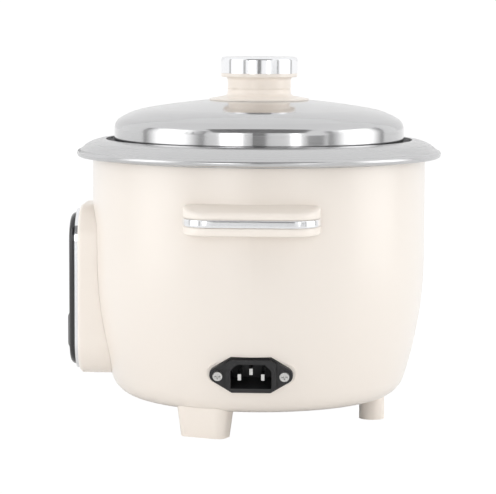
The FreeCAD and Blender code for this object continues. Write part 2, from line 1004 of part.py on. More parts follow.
# Feet.
for hand, (x, y, turn) in FEET.items():
    body = new_body("foot_" + hand)
    half = d.foot_depth / 2
    outline = [
        (-half + d.foot_corner, -d.foot_length / 2),
        (half - d.foot_corner, -d.foot_length / 2, d.foot_corner, 1),
        (half, -d.foot_length / 2 + d.foot_corner),
        (half, d.foot_length / 2 - d.foot_corner, d.foot_corner, 1),
        (half - d.foot_corner, d.foot_length / 2),
        (-half + d.foot_corner, d.foot_length / 2, d.foot_corner, 1),
        (-half, d.foot_length / 2 - d.foot_corner),
        (-half, -d.foot_length / 2 + d.foot_corner, d.foot_corner, 1),
    ]
    pad(body, "foot_block_" + hand, "XY_Plane", [outline], 0, d.foot_rise, d.foot_draft)
    place(body, (x, y, 0), (0, 0, 1), turn)
    name = "front_foot_" + hand
    node(
        name,
        cut(
            name,
            body,
            drum_cutter("foot_drum"),
            cylinder("foot_well", d.foot_bore, d.foot_bore_depth, (x, y, 0)),
            cylinder("foot_eye", d.foot_screw + d.seam, d.foot_rise, (x, y, 0)),
        ),
    )
x, y = foot_spots[2]
node(
    "rear_foot",
    cut(
        "rear_foot",
        cylinder("rear_foot_bar", d.rear_foot_radius, d.foot_rise, (x, y, 0)),
        drum_cutter("rear_foot_drum"),
        cylinder("rear_foot_well", d.foot_bore, d.foot_bore_depth, (x, y, 0)),
        cylinder("rear_foot_eye", d.foot_screw + d.seam, d.foot_rise, (x, y, 0)),
    ),
)
node(
    "foot_screws",
    group(
        "foot_screws",
        [
            screw(
                "foot_screw",
                d.foot_screw_head,
                d.foot_screw_head_height,
                d.foot_screw,
                d.foot_screw_end - d.foot_bore_depth,
                (x, y, d.foot_bore_depth),
            )
            for x, y in foot_spots
        ],
    ),
)

# Handles: a shelf with rounded ends, hollow below, with a chrome strip let into its edge.
grip_straight = d.grip_half - d.grip_corner
grip_bend = d.grip_reach - d.grip_corner
grip_slope = d.grip_fall / (d.grip_reach - d.shell_radius)
grip_peak = d.grip_top + grip_slope * d.grip_sink


def grip_plan(inset):
    """Plan of the grip, set in all round by a wall."""
    inset = as_size(inset)
    half = d.grip_half - inset
    front = d.grip_reach - inset
    return [
        (d.grip_root, -half),
        (grip_bend, -half, d.grip_corner - inset, 1),
        (front, -grip_straight),
        (front, grip_straight, d.grip_corner - inset, 1),
        (grip_bend, half),
        (d.grip_root, half),
    ]


def strip_plan(outer, inner_face, trim):
    """Band round the grip's edge between two insets."""
    end = grip_bend - d.strip_tail + trim
    outer_half = d.grip_half - outer
    inner_half = d.grip_half - inner_face
    return [
        (end, -outer_half),
        (grip_bend, -outer_half, d.grip_corner - outer, 1),
        (d.grip_reach - outer, -grip_straight),
        (d.grip_reach - outer, grip_straight, d.grip_corner - outer, 1),
        (grip_bend, outer_half),
        (end, outer_half),
        (end, inner_half),
        (grip_bend, inner_half, d.grip_corner - inner_face, -1),
        (d.grip_reach - inner_face, grip_straight),
        (d.grip_reach - inner_face, -grip_straight, d.grip_corner - inner_face, -1),
        (grip_bend, -inner_half),
        (end, -inner_half),
    ]


def on_grip_rim(edge):
    """True for the edges round the grip's sloping top and round its foot, but not those at its root."""
    low = edge.BoundBox.ZMax < d.grip_base.value + 0.01
    along = edge.tangentAt(edge.FirstParameter)
    upright = abs(along.z) > 0.9
    return edge.BoundBox.XMax > d.grip_root.value + 1 and (low or not upright)


SIDES = {"right": (1, 0), "left": (-1, 180)}
for hand, (side, turn) in SIDES.items():
    body = new_body("handle_" + hand)
    pad(
        body,
        "grip_block_" + hand,
        "XY_Plane",
        [grip_plan(0)],
        d.grip_base,
        grip_peak + 1 - d.grip_base,
    )
    slope = pocket(
        body,
        "grip_slope_" + hand,
        "XZ_Plane",
        [
            [
                (d.grip_root - 1, grip_peak + grip_slope),
                (d.grip_reach + 1, d.grip_top - d.grip_fall - grip_slope),
                (d.grip_reach + 1, grip_peak + 5),
                (d.grip_root - 1, grip_peak + 5),
            ]
        ],
        d.grip_half + 1,
        d.grip_half * 2 + 2,
    )
    soften(body, "grip_rim_" + hand, slope, d.grip_round, on_grip_rim)
    place(body, (0, 0, 0), (0, 0, 1), turn)
    hollow = new_body("grip_hollow_" + hand)
    pad(
        hollow,
        "grip_hollow_block_" + hand,
        "XY_Plane",
        [grip_plan(d.grip_wall)],
        d.grip_base - 1,
        d.grip_roof - d.grip_base + 1,
    )
    place(hollow, (0, 0, 0), (0, 0, 1), turn)
    strip_low = d.strip_centre - d.strip_height / 2
    groove = new_body("strip_groove_" + hand)
    pad(
        groove,
        "strip_groove_band_" + hand,
        "XY_Plane",
        [strip_plan(-d.grip_wall, d.strip_depth, as_size(0))],
        strip_low,
        d.strip_height,
    )
    place(groove, (0, 0, 0), (0, 0, 1), turn)
    screws = [
        cylinder(
            "grip_pilot",
            d.grip_screw + d.seam,
            d.grip_screw_bite + d.shell_wall,
            (
                side * (leg(d.shell_radius, d.grip_screw_side) - d.shell_wall),
                hand_side * d.grip_screw_side,
                d.grip_screw_height,
            ),
            ((0, 1, 0), 90 * side),
        )
        for hand_side in (-1, 1)
    ]
    name = "handle_" + hand
    node(name, cut(name, body, hollow, groove, drum_cutter("grip_drum_" + hand), *screws))
    strip = new_body("handle_trim_" + hand)
    pad(
        strip,
        "strip_band_" + hand,
        "XY_Plane",
        [strip_plan(-d.strip_proud, d.strip_depth - d.seam, d.seam)],
        strip_low + d.seam,
        d.strip_height - d.seam * 2,
    )
    place(strip, (0, 0, 0), (0, 0, 1), turn)
    node("handle_trim_" + hand, strip)

grip_screws = []
for side in (-1, 1):
    for hand_side in (-1, 1):
        seat = leg(d.shell_radius - d.shell_wall, d.grip_screw_side + d.grip_screw_head)
        grip_screws.append(
            screw(
                "grip_screw",
                d.grip_screw_head,
                d.grip_screw_head_height,
                d.grip_screw,
                d.grip_screw_bite,
                (side * seat, hand_side * d.grip_screw_side, d.grip_screw_height),
                ((0, 1, 0), 90 * side),
            )
        )
node("handle_screws", group("handle_screws", grip_screws))

# Heat shield between shell and pot, hung on the shell's edge.
shield_out = d.shield_bore + d.shield_wall
shield_blank = revolve(
    "shield_blank",
    [
        (d.shield_eye, d.shield_base),
        (shield_out - d.shield_corner, d.shield_base, d.shield_corner, 1),
        (shield_out, d.shield_base + d.shield_corner),
        (shield_out, d.shell_top),
        (d.shield_flange, d.shell_top),
        (d.shield_flange, d.shell_top + d.shield_wall),
        (d.shield_bore, d.shell_top + d.shield_wall),
        (d.shield_bore, d.shield_base + d.shield_corner, d.shield_corner - d.shield_wall, -1),
        (shield_out - d.shield_corner, d.shield_base + d.shield_wall),
        (d.shield_eye, d.shield_base + d.shield_wall),
    ],
)
support_spots = [around(d.support_ring, angle) for angle in (60, 180, 300)]
terminal_spots = [around(d.element_ring, sign * (d.element_gap / 2 + d.terminal_step)) for sign in (-1, 1)]
shield_tools = [
    cylinder("support_eye", d.support_screw + d.seam, 6, (x, y, d.shield_base - 3)) for x, y in support_spots
]
shield_tools += [
    cylinder("terminal_eye", d.terminal_hole, 6, (x, y, d.shield_base - 3)) for x, y in terminal_spots
]
shield_tools.append(
    cylinder("earth_eye", d.earth_screw + d.seam, 6, (d.earth_side, d.earth_back, d.shield_base - 3))
)
node("heat_shield", cut("heat_shield", shield_blank, *shield_tools))
node(
    "earth_screw",
    screw(
        "earth_screw",
        d.earth_head,
        d.earth_head_height,
        d.earth_screw,
        d.earth_length,
        (d.earth_side, d.earth_back, d.shield_base),
    ),
)

# Heating plate with the element cast into its underside.
element_z = d.plate_base + d.element_radius - d.element_drop
element_ring = revolve(
    "element_ring", (d.element_ring, element_z, d.element_radius), angle=as_size(360) - d.element_gap
)
place(element_ring, (0, 0, 0), (0, 0, 1), d.element_gap / 2)
element_mould = revolve(
    "element_mould",
    (d.element_ring, element_z, d.element_radius + d.seam),
    angle=as_size(360) - d.element_gap,
)
place(element_mould, (0, 0, 0), (0, 0, 1), d.element_gap / 2)
plate_shoulder = d.plate_top - d.plate_rim
plate_blank = revolve(
    "plate_blank",
    [
        (d.plate_bore, d.plate_base),
        (d.plate_boss, d.plate_base),
        (d.plate_boss, plate_shoulder),
        (d.plate_radius, plate_shoulder),
        (d.plate_radius, d.plate_top - d.plate_edge, d.plate_edge, 1),
        (d.plate_radius - d.plate_edge, d.plate_top),
        (d.plate_bore, d.plate_top),
    ],
)
plate_tools = [element_mould]
plate_tools += [
    cylinder("support_pilot", d.support_screw + d.seam, d.support_bite + d.seam, (x, y, plate_shoulder))
    for x, y in support_spots
]
node("heating_plate", cut("heating_plate", plate_blank, *plate_tools))
terminals = [
    cylinder("terminal", d.terminal_radius, element_z - d.terminal_end, (x, y, d.terminal_end))
    for x, y in terminal_spots
]
node("heating_element", fuse("heating_element", element_ring, *terminals))
supports = []
for x, y in support_spots:
    low = d.shield_base + d.shield_wall
    sleeve = cylinder("support_sleeve", d.support_radius, plate_shoulder - low, (x, y, low))
    eye = cylinder("support_bore", d.support_screw + d.seam, plate_shoulder - low, (x, y, low))
    supports.append(cut("support", sleeve, eye))
node("plate_supports", group("plate_supports", supports))
node(
    "plate_screws",
    group(
        "plate_screws",
        [
            screw(
                "plate_screw",
                d.support_head,
                d.support_head_height,
                d.support_screw,
                plate_shoulder + d.support_bite - d.shield_base,
                (x, y, d.shield_base),
            )
            for x, y in support_spots
        ],
    ),
)

# Sensor: a sprung can in the middle of the plate, with ferrite, magnet and plunger.
guide_out = d.guide_bore + d.guide_wall
guide_top = d.plate_base - d.guide_plate
node(
    "sensor_guide",
    revolve(
        "sensor_guide",
        [
            (d.guide_eye, d.guide_base),
            (guide_out, d.guide_base),
            (guide_out, guide_top),
            (d.guide_flange, guide_top),
            (d.guide_flange, d.plate_base),
            (d.guide_bore, d.plate_base),
            (d.guide_bore, d.guide_base + d.guide_wall),
            (d.guide_eye, d.guide_base + d.guide_wall),
        ],
    ),
)
sensor_foot = d.plate_top - d.sensor_depth
can_bore = d.sensor_radius - d.sensor_wall
node(
    "sensor_cap",
    revolve(
        "sensor_cap",
        [
            (can_bore, sensor_foot),
            (d.sensor_radius, sensor_foot),
            (d.sensor_radius, d.plate_top - d.sensor_wall, d.sensor_wall, 1),
            (can_bore, d.plate_top),
            (0, d.plate_top),
            (0, d.plate_top - d.sensor_wall),
            (can_bore, d.plate_top - d.sensor_wall),
        ],
    ),
)
ferrite_top = d.plate_top - d.sensor_wall
ferrite_base = ferrite_top - d.ferrite_thick
node("ferrite_disc", cylinder("ferrite_disc", d.ferrite_radius, d.ferrite_thick, (0, 0, ferrite_base)))
rod_bore = d.rod_radius + d.running_gap
node(
    "sensor_base",
    revolve(
        "sensor_base",
        [
            (rod_bore, sensor_foot),
            (can_bore - d.seam, sensor_foot),
            (can_bore - d.seam, sensor_foot + d.sensor_wall * 2),
            (rod_bore, sensor_foot + d.sensor_wall * 2),
        ],
    ),
)
magnet_top = ferrite_base - d.magnet_gap
magnet_base = magnet_top - d.magnet_thick
node("magnet", cylinder("magnet", d.magnet_radius, d.magnet_thick, (0, 0, magnet_base)))
node(
    "plunger_rod",
    revolve(
        "plunger_rod",
        [
            (0, d.rod_end),
            (d.rod_radius, d.rod_end),
            (d.rod_radius, d.collar_base),
            (d.collar_radius, d.collar_base),
            (d.collar_radius, d.collar_base + d.collar_thick),
            (d.rod_radius, d.collar_base + d.collar_thick),
            (d.rod_radius, magnet_base),
            (0, magnet_base),
        ],
    ),
)
collar_top = d.collar_base + d.collar_thick
node(
    "plunger_spring",
    coil(
        "plunger_spring",
        d.rod_spring_radius,
        d.rod_spring_wire,
        collar_top + d.seam,
        sensor_foot - d.seam,
        d.rod_spring_turns,
        4,
    ),
)
node(
    "sensor_spring",
    coil(
        "sensor_spring",
        d.sensor_spring_radius,
        d.sensor_spring_wire,
        d.guide_base + d.guide_wall + d.seam,
        sensor_foot - d.seam,
        d.sensor_spring_turns,
        8,
    ),
)

# Switch lever, seen from the side, and its bracket.
half_thick = d.lever_thick / 2
fork_z = d.collar_base - d.fork_play - half_thick
lever_body = new_body("lever")
lever_line = [
    (d.fork_reach, fork_z),
    (-d.pivot_reach + d.fork_bend, fork_z),
    (-d.pivot_reach + d.barrel_radius + d.barrel_blend, d.pivot_height),
    (-d.pivot_reach - d.front_bend, d.pivot_height),
    (-d.pivot_reach - d.front_bend - d.front_ramp, d.lever_step),
    (-d.lever_plate, d.lever_step),
]
upper = [(u, as_size(v) + half_thick) for u, v in lever_line]
lower = [(u, as_size(v) - half_thick) for u, v in lever_line]
upper[-1] = (-d.lever_plate + half_thick, d.lever_step + half_thick)
lower[-1] = (-d.lever_plate - half_thick, d.lever_step - half_thick)
lever_outline = lower + [
    (-d.lever_plate - half_thick, d.lever_head),
    (-d.lever_plate + half_thick, d.lever_head),
]
lever_outline += list(reversed(upper))
pad(lever_body, "lever_strip", "YZ_Plane", [lever_outline], -d.lever_width / 2, d.lever_width)
barrel = cylinder(
    "lever_barrel",
    d.barrel_radius,
    d.lever_width,
    (-d.lever_width / 2, -d.pivot_reach, d.pivot_height),
    ALONG_X,
)
lever_bore = cylinder(
    "lever_bore",
    d.pivot_radius + d.pin_fit,
    d.lever_width * 2,
    (-d.lever_width, -d.pivot_reach, d.pivot_height),
    ALONG_X,
)
fork_slot = box(
    "fork_slot",
    (-d.fork_slot / 2, -d.fork_slot / 2 - d.rod_radius, fork_z - 5),
    (d.fork_slot / 2, d.fork_reach + 5, fork_z + 5),
)
node("switch_lever", cut("switch_lever", fuse("lever_blank", lever_body, barrel), lever_bore, fork_slot))
cheek_in = d.lever_width / 2 + d.cheek_gap
cheek_out = cheek_in + d.cheek_thick
bracket_top = d.shield_base
switch_top = fork_z - half_thick - d.running_gap - d.button_proud
switch_base = switch_top - d.switch_height
cheek_front = -d.pivot_reach - d.cheek_half
cheek_back = -d.pivot_reach + d.cheek_half
cheek_low = d.pivot_height - d.cheek_drop
bracket_parts = [
    box(
        "bracket_plate",
        (-cheek_out, -d.pivot_reach - d.cheek_half - d.bracket_nose, bracket_top - d.bracket_plate),
        (cheek_out, -d.switch_front + d.switch_length - d.bracket_short, bracket_top),
    ),
    box("bracket_left", (-cheek_out, cheek_front, cheek_low), (-cheek_in, cheek_back, bracket_top)),
    box("bracket_right", (cheek_in, cheek_front, cheek_low), (cheek_out, cheek_back, bracket_top)),
    box(
        "bracket_arm",
        (cheek_in, -d.switch_front, switch_base + d.arm_rise),
        (cheek_out, -d.switch_front + d.switch_length - d.bracket_short, bracket_top),
    ),
]
pin_hole = cylinder(
    "pin_hole",
    d.pivot_radius + d.seam,
    cheek_out * 4,
    (-cheek_out * 2, -d.pivot_reach, d.pivot_height),
    ALONG_X,
)
node("lever_bracket", cut("lever_bracket", fuse("bracket_blank", *bracket_parts), pin_hole))
node(
    "lever_pin",
    cylinder(
        "lever_pin",
        d.pivot_radius,
        cheek_out * 2 + d.pin_tail * 2,
        (-cheek_out - d.pin_tail, -d.pivot_reach, d.pivot_height),
        ALONG_X,
    ),
)

# Micro switch under the lever, screwed to the bracket's arm.
button_at = (as_size(0), -d.button_reach, switch_top - d.button_sink)
switch_right = cheek_in - d.seam
switch_block = box(
    "switch_block",
    (switch_right - d.switch_thick, -d.switch_front, switch_base),
    (switch_right, -d.switch_front + d.switch_length, switch_top),
)
button_well = cylinder(
    "button_well",
    d.button_radius + d.pin_fit * 2,
    d.button_sink + d.button_room,
    (0, -d.button_reach, switch_top - d.button_sink - d.button_room),
)
tag_spots = [-d.switch_front + d.tag_first + d.tag_pitch * i for i in range(3)]
tags = [
    box(
        "switch_tag",
        (-d.tag_half, y, switch_base - d.tag_drop),
        (d.tag_half, y + d.tag_thick, switch_base + 1),
    )
    for y in tag_spots
]
node("micro_switch", cut("micro_switch", fuse("switch_blank", switch_block, *tags), button_well))
node(
    "switch_button",
    cylinder("switch_button", d.button_radius, d.button_sink + d.button_proud, button_at),
)

# Thermal fuse strapped under the heat shield.
fuse_at = (-d.fuse_side, d.fuse_back, d.fuse_height)
node("thermal_fuse", cylinder("thermal_fuse", d.fuse_radius, d.fuse_length, fuse_at, ALONG_Y))
clip_half = d.fuse_radius + d.clip_wall
clip_y = d.fuse_back + d.fuse_length / 2 - d.clip_width / 2
clip_block = box(
    "clip_block",
    (-d.fuse_side - clip_half, clip_y, d.fuse_height - clip_half),
    (-d.fuse_side + clip_half, clip_y + d.clip_width, d.shield_base),
)
clip_bore = cylinder("clip_bore", d.fuse_radius + d.seam, d.fuse_length, fuse_at, ALONG_Y)
node("fuse_clip", cut("fuse_clip", clip_block, clip_bore))

# Control box on the front.
trim_half = d.box_half - d.trim_margin
trim_low = d.box_base + d.trim_margin
trim_high = d.box_top - d.trim_margin
trim_corner = d.box_corner - d.trim_margin
panel_half = trim_half - d.panel_margin
panel_low = trim_low + d.panel_margin
panel_high = trim_high - d.panel_margin
panel_corner = trim_corner - d.panel_margin


def front_outline(grow):
    grow = as_size(grow)
    return rounded_rectangle(panel_half + grow, panel_low - grow, panel_high + grow, panel_corner + grow)


housing = new_body("housing")
housing_block = pad(
    housing,
    "housing_block",
    "XZ_Plane",
    [rounded_rectangle(d.box_half, d.box_base, d.box_top, d.box_corner)],
    d.box_back,
    d.box_front - d.box_back,
)
soften(
    housing,
    "housing_round",
    housing_block,
    d.box_round,
    lambda e: e.BoundBox.YMax < -d.box_front.value + 0.01,
)
housing_hollow = new_body("housing_hollow")
pad(
    housing_hollow,
    "housing_hollow_block",
    "XZ_Plane",
    [
        rounded_rectangle(
            d.box_half - d.box_wall,
            d.box_base + d.box_wall,
            d.box_top - d.box_wall,
            d.box_corner - d.box_wall,
        )
    ],
    d.box_back - 10,
    d.box_front - d.box_wall - d.box_back + 10,
)
housing_window = new_body("housing_window")
window_outline = front_outline(d.seam * 2)
pad(housing_window, "housing_window_block", "XZ_Plane", [window_outline], d.box_back, d.box_root * 2)
boss_spots = [
    (side * d.boss_side, height) for side in (-1, 1) for height in (d.boss_low, d.boss_high)
]
bosses = [
    cylinder("box_boss", d.boss_radius, d.panel_back - d.box_back, (x, -d.panel_back + d.seam, z), ALONG_Y)
    for x, z in boss_spots
]
pilots = [
    cylinder(
        "box_pilot",
        d.box_screw + d.seam,
        d.panel_back - d.box_back,
        (x, -d.panel_back + d.box_screw_short - d.seam * 4, z),
        ALONG_Y,
    )
    for x, z in boss_spots
]
housing_shell = cut("housing_shell", housing, housing_hollow, housing_window)
node(
    "control_housing",
    cut(
        "control_housing",
        fuse("housing_bossed", housing_shell, *bosses),
        drum_cutter("housing_drum"),
        *pilots,
    ),
)
trim = new_body("bezel_trim")
pad(
    trim,
    "bezel_ring",
    "XZ_Plane",
    [rounded_rectangle(trim_half, trim_low, trim_high, trim_corner), front_outline(d.seam * 2)],
    d.box_front,
    d.trim_proud,
)
node("bezel_trim", trim)

panel = new_body("panel")
panel_deep = d.panel_front - d.panel_back
panel_block = pad(panel, "panel_block", "XZ_Plane", [front_outline(0)], d.panel_back, panel_deep)
soften(
    panel,
    "panel_round",
    panel_block,
    d.panel_round,
    lambda e: e.BoundBox.YMax < -d.panel_front.value + 0.01,
)
panel_hollow = new_body("panel_hollow")
pad(
    panel_hollow,
    "panel_hollow_block",
    "XZ_Plane",
    [front_outline(-d.panel_wall)],
    d.panel_back - 1,
    d.panel_front - d.panel_wall - d.panel_back + 1,
)
ear_middle = (d.box_base + d.box_top) / 2
ears = [
    box(
        "panel_ear",
        (side * (panel_half + d.panel_ear / 2) - d.panel_ear, -d.box_front + d.box_wall + d.seam, low),
        (side * (panel_half + d.panel_ear / 2) + d.panel_ear, -d.panel_back, low + d.ear_half * 2),
    )
    for side in (-1, 1)
    for low in (ear_middle - d.ear_spread - d.ear_half, ear_middle + d.ear_spread - d.ear_half)
]
key_clear = d.running_gap
key_low_travel = d.key_base - d.key_travel
key_window = box(
    "key_window",
    (-d.key_half - key_clear, -d.panel_front - 5, key_low_travel - key_clear),
    (d.key_half + key_clear, -d.panel_front + d.panel_wall + 1, d.key_top + key_clear),
)
lens_spots = {"cook": -d.lens_pitch / 2, "warm": d.lens_pitch / 2}
lens_eyes = [
    cylinder("lens_eye", d.lens_radius + d.seam, 10, (x, -d.panel_front - 2, d.lens_height), ALONG_Y)
    for x in lens_spots.values()
]
node(
    "control_panel",
    cut(
        "control_panel",
        fuse("panel_eared", cut("panel_tub", panel, panel_hollow), *ears),
        key_window,
        *lens_eyes,
    ),
)
for lamp, x in lens_spots.items():
    behind = -d.panel_front + d.panel_wall
    spot = (x, -d.panel_front, d.lens_height)
    stem = cylinder("lens_stem_" + lamp, d.lens_radius, d.lens_depth, spot, ALONG_Y)
    collar = cylinder(
        "lens_collar_" + lamp,
        d.lens_radius + d.lens_collar,
        d.lens_collar,
        (x, behind + d.seam, d.lens_height),
        ALONG_Y,
    )
    node(lamp + "_lens", fuse(lamp + "_lens", stem, collar))
lamp_front = -d.panel_front + d.lens_depth + d.seam
lamps = [
    cylinder("lamp", d.lamp_radius, d.lamp_length, (x, lamp_front, d.lens_height), ALONG_Y)
    for x in lens_spots.values()
]
node("indicator_lamps", group("indicator_lamps", lamps))
holder_y = lamp_front + d.holder_back
holder_low = d.lens_height - d.holder_height / 2
holder_high = d.lens_height + d.holder_height / 2
holder_parts = [
    box(
        "holder_plate",
        (-d.holder_half, holder_y, holder_low),
        (d.holder_half, holder_y + d.holder_thick, holder_high),
    )
]
holder_parts += [
    box(
        "holder_leg",
        (side * (d.holder_half - d.holder_leg / 2) - d.holder_leg / 2, behind + d.seam, holder_low),
        (side * (d.holder_half - d.holder_leg / 2) + d.holder_leg / 2, holder_y + 1, holder_high),
    )
    for side in (-1, 1)
]
lamp_eyes = [
    cylinder("lamp_eye", d.lamp_radius + d.seam, 20, (x, behind, d.lens_height), ALONG_Y)
    for x in lens_spots.values()
]
lamp_eyes += [
    cylinder(
        "collar_eye",
        d.lens_radius + d.lens_collar + d.seam,
        d.lens_depth - d.panel_wall,
        (x, behind, d.lens_height),
        ALONG_Y,
    )
    for x in lens_spots.values()
]
node("lamp_holder", cut("lamp_holder", fuse("holder_blank", *holder_parts), *lamp_eyes))

# Cook key: an eased face, a lap which hides the slot, and a stem on the lever.
key_arc = (d.key_ease * d.key_ease + d.key_proud * d.key_proud) / (2 * d.key_proud)
key_face = new_body("key_face")
pad(
    key_face,
    "key_block",
    "YZ_Plane",
    [
        [
            (-d.key_back, d.key_base),
            (-d.key_back, d.key_top),
            (-d.panel_front, d.key_top, key_arc, 1),
            (-d.key_front, d.key_top - d.key_ease),
            (-d.key_front, d.key_base + d.key_ease, key_arc, 1),
            (-d.panel_front, d.key_base),
        ]
    ],
    -d.key_half,
    d.key_half * 2,
)
key_lap = box(
    "key_lap",
    (-d.key_half - d.key_side_lap, -d.key_back - d.seam, d.key_base),
    (d.key_half + d.key_side_lap, -d.key_back + d.key_web, d.key_top + d.key_lap),
)
key_stem = box(
    "key_stem",
    (-d.key_stem, -d.key_back, d.lever_head - d.stem_height),
    (d.key_stem, -d.lever_plate - half_thick - d.seam, d.lever_head),
)
node("switch_key", fuse("switch_key", key_face, key_lap, key_stem))

box_screws = []
for x, z in boss_spots:
    if z is d.boss_low:
        wall = leg(belly_at(z, d.shell_wall), d.boss_side + d.box_screw_head)
        wall = wall - d.box_screw_head
    else:
        wall = leg(d.shell_radius - d.shell_wall, d.boss_side + d.box_screw_head)
    box_screws.append(
        screw(
            "box_screw",
            d.box_screw_head,
            d.box_screw_head_height,
            d.box_screw,
            d.panel_back - wall - d.box_screw_short,
            (x, -wall, z),
            ((1, 0, 0), 90),
        )
    )
node("control_box_screws", group("control_box_screws", box_screws))

# Appliance inlet in its seat.
inlet = new_body("inlet")
block_top = d.flange_height / 2 - d.block_inset
block_flat = d.flange_flat / 2 - d.block_inset / 2
block_side = d.block_width / 2
ear_u = d.inlet_pitch / 2 + d.ear_radius * cosine(d.ear_lean)
ear_v = d.ear_radius * sine(d.ear_lean)
side_fall = (d.flange_height / 2 - ear_v) / (ear_u - d.flange_flat / 2)
block_edge = block_top - (block_side - block_flat) * side_fall
block_outline = [
    (-block_flat, -block_top),
    (block_flat, -block_top),
    (block_side, -block_edge),
    (block_side, block_edge),
    (block_flat, block_top),
    (-block_flat, block_top),
    (-block_side, block_edge),
    (-block_side, -block_edge),
]
pad(inlet, "inlet_flange", "YZ_Plane", [ear_outline(0)], 0, d.flange_thick)
pad(
    inlet,
    "inlet_block",
    "YZ_Plane",
    [block_outline],
    d.flange_thick - d.seam,
    d.block_proud + d.seam,
)
pad(
    inlet,
    "inlet_back",
    "YZ_Plane",
    [
        rounded_rectangle(
            d.inlet_body_width / 2, -d.inlet_body_height / 2, d.inlet_body_height / 2, as_size(1)
        )
    ],
    -d.inlet_body_depth,
    d.inlet_body_depth + d.seam,
)
in_seat(inlet)
inlet_face = d.flange_thick + d.block_proud
socket_floor = -d.inlet_body_depth + d.socket_floor
half_w = d.socket_width / 2
half_h = d.socket_height / 2
socket = seat_block(
    "inlet_socket",
    [
        (-half_w, -half_h),
        (half_w, -half_h),
        (half_w, half_h - d.socket_chamfer),
        (half_w - d.socket_chamfer, half_h),
        (-half_w + d.socket_chamfer, half_h),
        (-half_w, half_h - d.socket_chamfer),
    ],
    socket_floor,
    inlet_face + 1,
)
inlet_holes = [
    seat_rod("inlet_ear_hole", d.inlet_screw + d.seam, -1, d.flange_thick + 1, side * d.inlet_pitch / 2)
    for side in (-1, 1)
]
BLADES = (
    (-d.blade_pitch / 2, -d.blade_drop),
    (d.blade_pitch / 2, -d.blade_drop),
    (as_size(0), d.earth_rise),
)


def blade_outline(across, up, grow):
    wide = d.blade_width / 2 + grow
    tall = d.blade_height / 2 + grow
    return rectangle(across - wide, up - tall, across + wide, up + tall)


blade_slots = [
    seat_block("blade_slot", blade_outline(u, v, d.seam), -d.inlet_body_depth - 1, socket_floor + 1)
    for u, v in BLADES
]
node("inlet_housing", cut("inlet_housing", inlet, socket, *inlet_holes, *blade_slots))
blades = []
for u, v in BLADES:
    front = seat_block(
        "blade",
        blade_outline(u, v, as_size(0)),
        -d.inlet_body_depth - d.blade_tail,
        inlet_face - d.blade_short,
    )
    tab = seat_block(
        "blade_tab",
        rectangle(u - d.tab_thick / 2, v - d.tab_height / 2, u + d.tab_thick / 2, v + d.tab_height / 2),
        -d.inlet_body_depth - d.blade_tail - d.tab_length,
        -d.inlet_body_depth - d.blade_tail / 2,
    )
    blades.append(fuse("inlet_blade", front, tab))
node("inlet_contacts", group("inlet_contacts", blades))


def seat_point(out, across, up):
    """World position of a point given in the inlet's own frame."""
    return (
        inlet_at[0] + out * cosine(inlet_tilt) + up * slope_sine,
        as_size(across),
        inlet_at[2] - out * slope_sine + up * cosine(inlet_tilt),
    )


out_turn = inlet_tilt + 90
node(
    "inlet_screws",
    group(
        "inlet_screws",
        [
            screw(
                "inlet_screw",
                d.inlet_head,
                d.inlet_head_height,
                d.inlet_screw,
                d.inlet_screw_length,
                seat_point(d.flange_thick, side * d.inlet_pitch / 2, as_size(0)),
                ((0, 1, 0), out_turn),
                flip=True,
            )
            for side in (-1, 1)
        ],
    ),
)
nuts = []
for side in (-1, 1):
    hexagon = doc.addObject("Part::Prism", "nut_blank")
    hexagon.Polygon = 6
    bind(hexagon, "Circumradius", d.nut_radius)
    bind(hexagon, "Height", d.nut_thick)
    nut_face = seat_point(-d.shell_wall - d.seam - d.nut_thick, side * d.inlet_pitch / 2, as_size(0))
    place(hexagon, nut_face, (0, 1, 0), out_turn)
    thread = seat_rod("nut_thread", d.inlet_screw + d.seam, -8, 0, side * d.inlet_pitch / 2)
    nuts.append(cut("inlet_nut", hexagon, thread))
node("inlet_nuts", group("inlet_nuts", nuts))

# Leads inside the base: each starts and ends at a terminal, the points between are chosen by hand.
tab_end = -d.inlet_body_depth - d.blade_tail - d.tab_length - d.seam * 4
neutral_at, live_at, earth_at = [seat_point(tab_end, u, v) for u, v in BLADES]
neutral_out, live_out, earth_out = [seat_point(tab_end - d.lead_run, u, v) for u, v in BLADES]
near_terminal, far_terminal = terminal_spots
terminal_z = d.terminal_end - d.seam
tag_z = switch_base - d.tag_drop / 2
tag_side = d.tag_half + d.seam * 2
lamp_tag, heater_tag, fuse_tag = [y + d.tag_thick / 2 for y in tag_spots]
lead(
    "neutral_lead",
    neutral_at,
    neutral_out,
    (*near_terminal, terminal_z - 9),
    (*near_terminal, terminal_z),
)
lead(
    "live_lead",
    live_at,
    live_out,
    (d.shell_radius - 55, 24, 36),
    (0, 56, 36),
    (-d.fuse_side, 56, d.fuse_height),
    (-d.fuse_side, d.fuse_back + d.fuse_length + d.seam, d.fuse_height),
)
lead(
    "earth_lead",
    earth_at,
    earth_out,
    (d.earth_side, d.earth_back, d.shield_base - 13),
    (d.earth_side, d.earth_back, d.shield_base - d.earth_head_height - d.seam),
)
lead(
    "switch_lead",
    (-d.fuse_side, d.fuse_back - d.seam, d.fuse_height),
    (-d.fuse_side, 2, d.fuse_height),
    (-d.fuse_side, fuse_tag, tag_z),
    (-tag_side, fuse_tag, tag_z),
)
lead(
    "heater_lead",
    (tag_side, heater_tag, tag_z),
    (32, heater_tag, tag_z),
    (*far_terminal, terminal_z - 16),
    (*far_terminal, terminal_z),
)
lamp_run = -d.panel_back - 1.4
lead(
    "lamp_lead",
    (-tag_side, lamp_tag, tag_z),
    (-24, lamp_tag, tag_z),
    (-24, -d.shell_radius + 39, d.pivot_height - 8),
    (-6.9, -d.shell_radius + 19, d.pivot_height + 6),
    (-6.9, lamp_run, d.pivot_height + 6),
    (lens_spots["cook"], lamp_run, d.lens_height - d.lamp_radius - d.seam),
)

